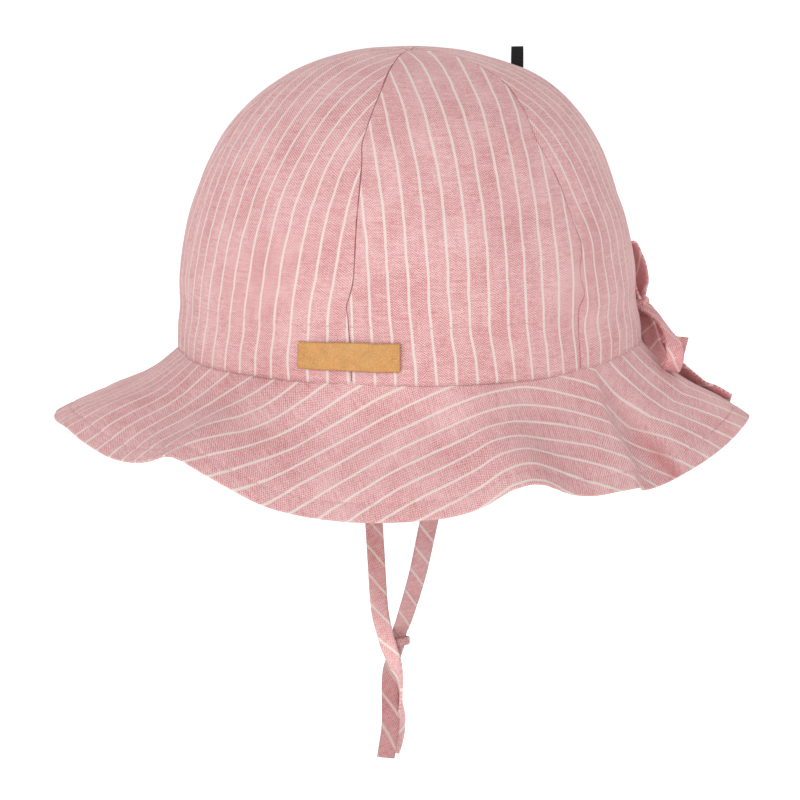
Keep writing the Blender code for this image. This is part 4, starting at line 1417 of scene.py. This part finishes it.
class SUNHAT_OT_bow(bpy.types.Operator):
    """Tie the bow at the back"""

    bl_idname = "sun_hat.bow"
    bl_label = "Tie Bow"

    def execute(self, context):
        # The bow's cloth carries a painted reddish shade
        cloth = linen("bow_linen_painted_shade_cloth", bias=-BIAS_ANGLE, depth=BOW_PAINTED_SHADE)
        left, out = direction(BACK_AZIMUTH - 90), direction(BACK_AZIMUTH)
        for name, kind, points, sections, side in (
            ("lower", "loop", LOWER_LOOP, 130, out), ("upper", "loop", UPPER_LOOP, 110, left),
            ("short", "tail", SHORT_TAIL, 50, left), ("long", "tail", LONG_TAIL, 80, left),
        ):
            rows = read_table(points, sections)
            if kind == "loop":
                rows[:, :3] = self.drawn_in(rows[:, :3])
            centres = bow_place(rows[:, :1], rows[:, 1:2], rows[:, 2:3])
            sides = turned(centres, np.broadcast_to(side, centres.shape), rows[:, 3])
            mesh = tape_mesh(f"bow_{name}", centres, np.full(sections, BAND_WIDTH), sides, BAND_WALL)
            show(mesh.name, mesh, cloth, "bow_linen", f"bow_{kind}_{name}")
        self.knot(cloth)
        return {"FINISHED"}

    def drawn_in(self, rows):
        """A loop's rows, with both ends drawn on into the knot."""
        place = np.linspace(0, 1, len(rows))[:, None]
        near = np.clip(1 - np.minimum(place, 1 - place) / LOOP_END, 0, 1)
        return rows * (1 - near * LOOP_DRAW)

    def knot(self, cloth):
        """A soft knot, squarish like its solid, with the creases of the band that is pulled through it."""
        turn = np.linspace(0, 2 * math.pi, KNOT_COLUMNS)[None, :]
        tilt = np.linspace(-math.pi / 2, math.pi / 2, KNOT_ROWS)[:, None]
        turn, tilt = np.broadcast_arrays(turn, tilt)

        def squared(value):
            return np.sign(value) * np.abs(value) ** KNOT_SQUARENESS

        x = squared(np.cos(tilt)) * squared(np.cos(turn))
        y = squared(np.cos(tilt)) * squared(np.sin(turn))
        z = squared(np.sin(tilt))
        crease = KNOT_CREASE * np.abs(np.sin(2.5 * z + 1.2 * x)) + KNOT_TUCK * bell(z - 0.3 * y, KNOT_TUCK_SPREAD)
        size = BOW_KNOT / 2 * (1 - crease)
        points = bow_place(0, 0, 0) + np.stack([x * size, y * size, z * size], axis=-1)
        verts = points[:, :-1].reshape(-1, 3)
        rows, columns = points.shape[0], points.shape[1] - 1
        spots = np.stack([turn * BOW_KNOT / 2, tilt * BOW_KNOT / 2], axis=-1)
        faces, corners = [], []
        for i in range(rows - 1):
            for k in range(columns):
                loop = [(i, k), (i, k + 1), (i + 1, k + 1), (i + 1, k)]
                if i == 0:
                    loop = [(0, 0), (1, k + 1), (1, k)]
                elif i == rows - 2:
                    loop = [(i, k), (i, k + 1), (rows - 1, 0)]
                faces.append([r * columns + c % columns for r, c in loop])
                corners.extend(spots[r, c] for r, c in loop)
        mesh = finished_mesh("bow_middle", verts, faces, corners)
        show(mesh.name, mesh, cloth, "bow_linen", "bow_knot")


def area_light(light, place):
    """A round soft lamp, turned towards the hat."""
    data = bpy.data.lights.new(light.name, "AREA")
    data.shape = "DISK"
    data.size = light.size
    data.energy = light.watts
    lamp = bpy.data.objects.new(light.name, data)
    bpy.context.scene.collection.objects.link(lamp)
    lamp.location = place
    lamp.rotation_euler = (LIGHT_AIM - place).to_track_quat("-Z", "Y").to_euler()


class SUNHAT_OT_stage(bpy.types.Operator):
    """Set the floor, the lights and the camera"""

    bl_idname = "sun_hat.stage"
    bl_label = "Set Stage"

    def execute(self, context):
        scene = context.scene
        half = FLOOR_SIZE / 2
        mesh = bpy.data.meshes.new("floor")
        corners = [(x * half, y * half, FLOOR_HEIGHT) for x, y in ((-1, -1), (1, -1), (1, 1), (-1, 1))]
        mesh.from_pydata(corners, [], [(0, 1, 2, 3)])
        mesh.materials.append(floor_paper())
        floor = bpy.data.objects.new("floor", mesh)
        scene.collection.objects.link(floor)

        toward = Vector(direction(CAMERA_AZIMUTH))
        right = Vector((-toward.y, toward.x, 0))
        for light in LIGHTS:
            area_light(light, toward * light.toward + right * light.right + Vector((0, 0, light.up)))

        world = bpy.data.worlds.new("studio")
        scene.world = world
        world.use_nodes = True
        sky = world.node_tree.nodes["Background"]
        sky.inputs["Color"].default_value = (1, 1, 1, 1)
        sky.inputs["Strength"].default_value = SKY_STRENGTH

        data = bpy.data.cameras.new("camera")
        data.lens = CAMERA_LENS
        data.sensor_width = CAMERA_SENSOR
        data.shift_x, data.shift_y = CAMERA_SHIFT
        camera = bpy.data.objects.new("camera", data)
        scene.collection.objects.link(camera)
        tilt = math.radians(CAMERA_ELEVATION)
        camera.location = (toward * math.cos(tilt) + Vector((0, 0, math.sin(tilt)))) * CAMERA_DISTANCE
        camera.rotation_euler = (-camera.location).to_track_quat("-Z", "Y").to_euler()
        scene.camera = camera
        scene.view_settings.view_transform = "Standard"
        return {"FINISHED"}


OPERATORS = (
    SUNHAT_OT_stage, SUNHAT_OT_crown, SUNHAT_OT_brim, SUNHAT_OT_stitching, SUNHAT_OT_patch, SUNHAT_OT_tag,
    SUNHAT_OT_ties, SUNHAT_OT_bow,
)


class SUNHAT_PT_pieces(bpy.types.Panel):
    """The sun hat's pieces, sizes and colours"""

    bl_idname = "SUNHAT_PT_pieces"
    bl_label = "Baby Sun Hat"
    bl_space_type = "VIEW_3D"
    bl_region_type = "UI"
    bl_category = "Sun Hat"

    def draw(self, context):
        for operator in OPERATORS:
            self.layout.operator(operator.bl_idname)
        for group in (context.scene.sun_hat_sizes, context.scene.sun_hat_colours):
            box = self.layout.box()
            for name in group.__annotations__:
                box.prop(group, name)


CLASSES = (SunHatSizes, SunHatColours, *OPERATORS, SUNHAT_PT_pieces)


def register():
    for cls in CLASSES:
        bpy.utils.register_class(cls)
    bpy.types.Scene.sun_hat_sizes = PointerProperty(type=SunHatSizes)
    bpy.types.Scene.sun_hat_colours = PointerProperty(type=SunHatColours)


def unregister():
    del bpy.types.Scene.sun_hat_sizes
    del bpy.types.Scene.sun_hat_colours
    for cls in reversed(CLASSES):
        bpy.utils.unregister_class(cls)


def main():
    register()
    bpy.ops.sun_hat.stage()
    bpy.ops.sun_hat.crown()
    bpy.ops.sun_hat.brim()
    bpy.ops.sun_hat.stitching()
    bpy.ops.sun_hat.patch()
    bpy.ops.sun_hat.tag()
    bpy.ops.sun_hat.ties()
    bpy.ops.sun_hat.bow()


if __name__ == "__main__":
    main()
